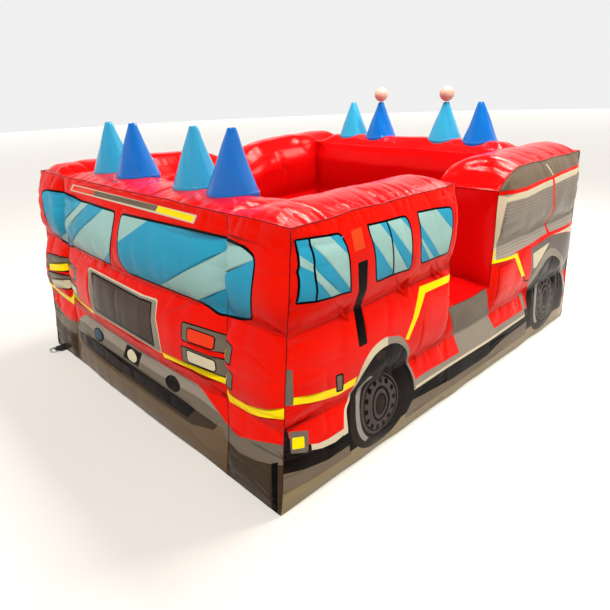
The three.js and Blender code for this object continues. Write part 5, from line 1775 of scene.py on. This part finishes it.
# ---- carried-over CAD pieces: materials, and small fittings --------------------------------
FINISH = {
    "steel": STEEL,
    "housing_plastic": hard("housing_black", "#232529", 0.5, grain=0.35, scale=70),
    "cast_aluminium": hard("cast_alloy", "#8F9194", 0.42, 0.85, grain=0.3, scale=50),
    "foot_rubber": hard("foot_black", "#161616", 0.85, grain=0.4, scale=50),
    "zip_plastic": ZIP_BLACK,
    "switch_red": hard("switch_red_gloss", "#C01410", 0.25, grain=0.05),
    "webbing": WEBBING,
    "red_vinyl": TOP,
    "baffle_fabric": vinyl("web_fabric", "#A01216", rough=0.5),
    "printed_vinyl": INKS["red"],
    "cone_fabric_light": CONE_FABRIC["light"],
    "cone_fabric_dark": CONE_FABRIC["dark"],
    "ball_plastic": BALL,
}
SLOT_OF = {row["node"]: row["material_slot"] for row in frame["record"]["subparts"]}
for node_name, node in NODES.items():
    for n in range(len(node.material_slots)):
        node.material_slots[n].material = FINISH[SLOT_OF[node_name]]


def fittings():
    """Screws round the blower's inlet rings."""
    low, high = (np.array(c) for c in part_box("inlet_grille_free_side"))
    middle = (low + high) / 2
    left = np.array(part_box("inlet_grille_motor_side")[0])[0]
    parts, circle_r = [], 0.091
    dome = [(0.0, 0.0), (0.0042, 0.0), (0.0042, 0.0008), (0.0036, 0.0019), (0.0020, 0.0026), (0.0, 0.0027)]
    for side, x in ((1, high[0]), (-1, left)):
        for n in range(6):
            a = 2 * math.pi * (n + 0.5) / 6
            v, f = revolve([(max(r, 0.00005), h) for r, h in dome], 14)
            y, z = v[:, 0] * side + middle[1], v[:, 1] + middle[2]
            spots = (v[:, 2] * side + x, y + circle_r * math.cos(a), z + circle_r * math.sin(a))
            parts.append((np.stack(spots, 1), f))
    add_piece("blower_screws", parts, STEEL, "pen", "steel", sharp=40)


fittings()

# ---- floor and light -----------------------------------------------------------------------
paper = Graph("paper")
paper.put(paper.shader.inputs["Base Color"], (0.87, 0.86, 0.84, 1))
paper.put(paper.shader.inputs["Roughness"], 0.9)
STUDIO_R, STUDIO_H = 24.0, 14.0
around = [(STUDIO_R * math.cos(2 * math.pi * n / 64),
           STUDIO_R * math.sin(2 * math.pi * n / 64)) for n in range(64)]
board = mesh_object("floor_board", [(x, y, -0.001) for x, y in around], [tuple(range(64))],
                    [paper.material])
glow = Graph("glow")
glow.put(glow.shader.inputs["Base Color"], (0, 0, 0, 1))
glow.put(glow.shader.inputs["Emission Color"], (1, 1, 1, 1))
glow.put(glow.shader.inputs["Emission Strength"], 0.84)
backdrop = mesh_object(
    "backdrop", [(x, y, -0.001) for x, y in around] + [(x, y, STUDIO_H) for x, y in around],
    [((n + 1) % 64, n, 64 + n, 64 + (n + 1) % 64) for n in range(64)], [glow.material])

world = bpy.data.worlds.new("studio")
SCENE.world = world
world.use_nodes = True
world.node_tree.nodes["Background"].inputs["Color"].default_value = (1.0, 0.98, 0.96, 1)
world.node_tree.nodes["Background"].inputs["Strength"].default_value = 0.16


def light(name, kind, aim, energy, colour, **shape):
    data = bpy.data.lights.new(name, kind)
    data.energy, data.color = energy, colour
    for key, value in shape.items():
        setattr(data, key, value)
    lamp = bpy.data.objects.new(name, data)
    lamp.rotation_euler = Vector(aim).to_track_quat("-Z", "Y").to_euler()
    SCENE.collection.objects.link(lamp)
    return lamp


def hall_lamp(name, at, aim, length, power):
    """A long bare tube under the hall's ceiling."""
    lamp = light(name, "AREA", Vector(aim) - Vector(at), power, (1.0, 0.93, 0.82),
                 shape="RECTANGLE", size=length, size_y=0.12)
    lamp.location = at


light("wide_key", "SUN", (-1.05, 1.25, -3.0), 2.35, (1.0, 0.96, 0.90), angle=0.11)
hall_lamp("hall_lamp_1", (1.4, 0.9, 3.4), (0.9, -0.4, 0.8), 0.9, 75)
hall_lamp("hall_lamp_2", (-0.6, 0.6, 3.6), (0, -0.4, 1.0), 1.2, 75)
hall_lamp("hall_lamp_3", (0.5, 2.6, 3.2), (0.6, 0.9, 0.9), 1.2, 60)
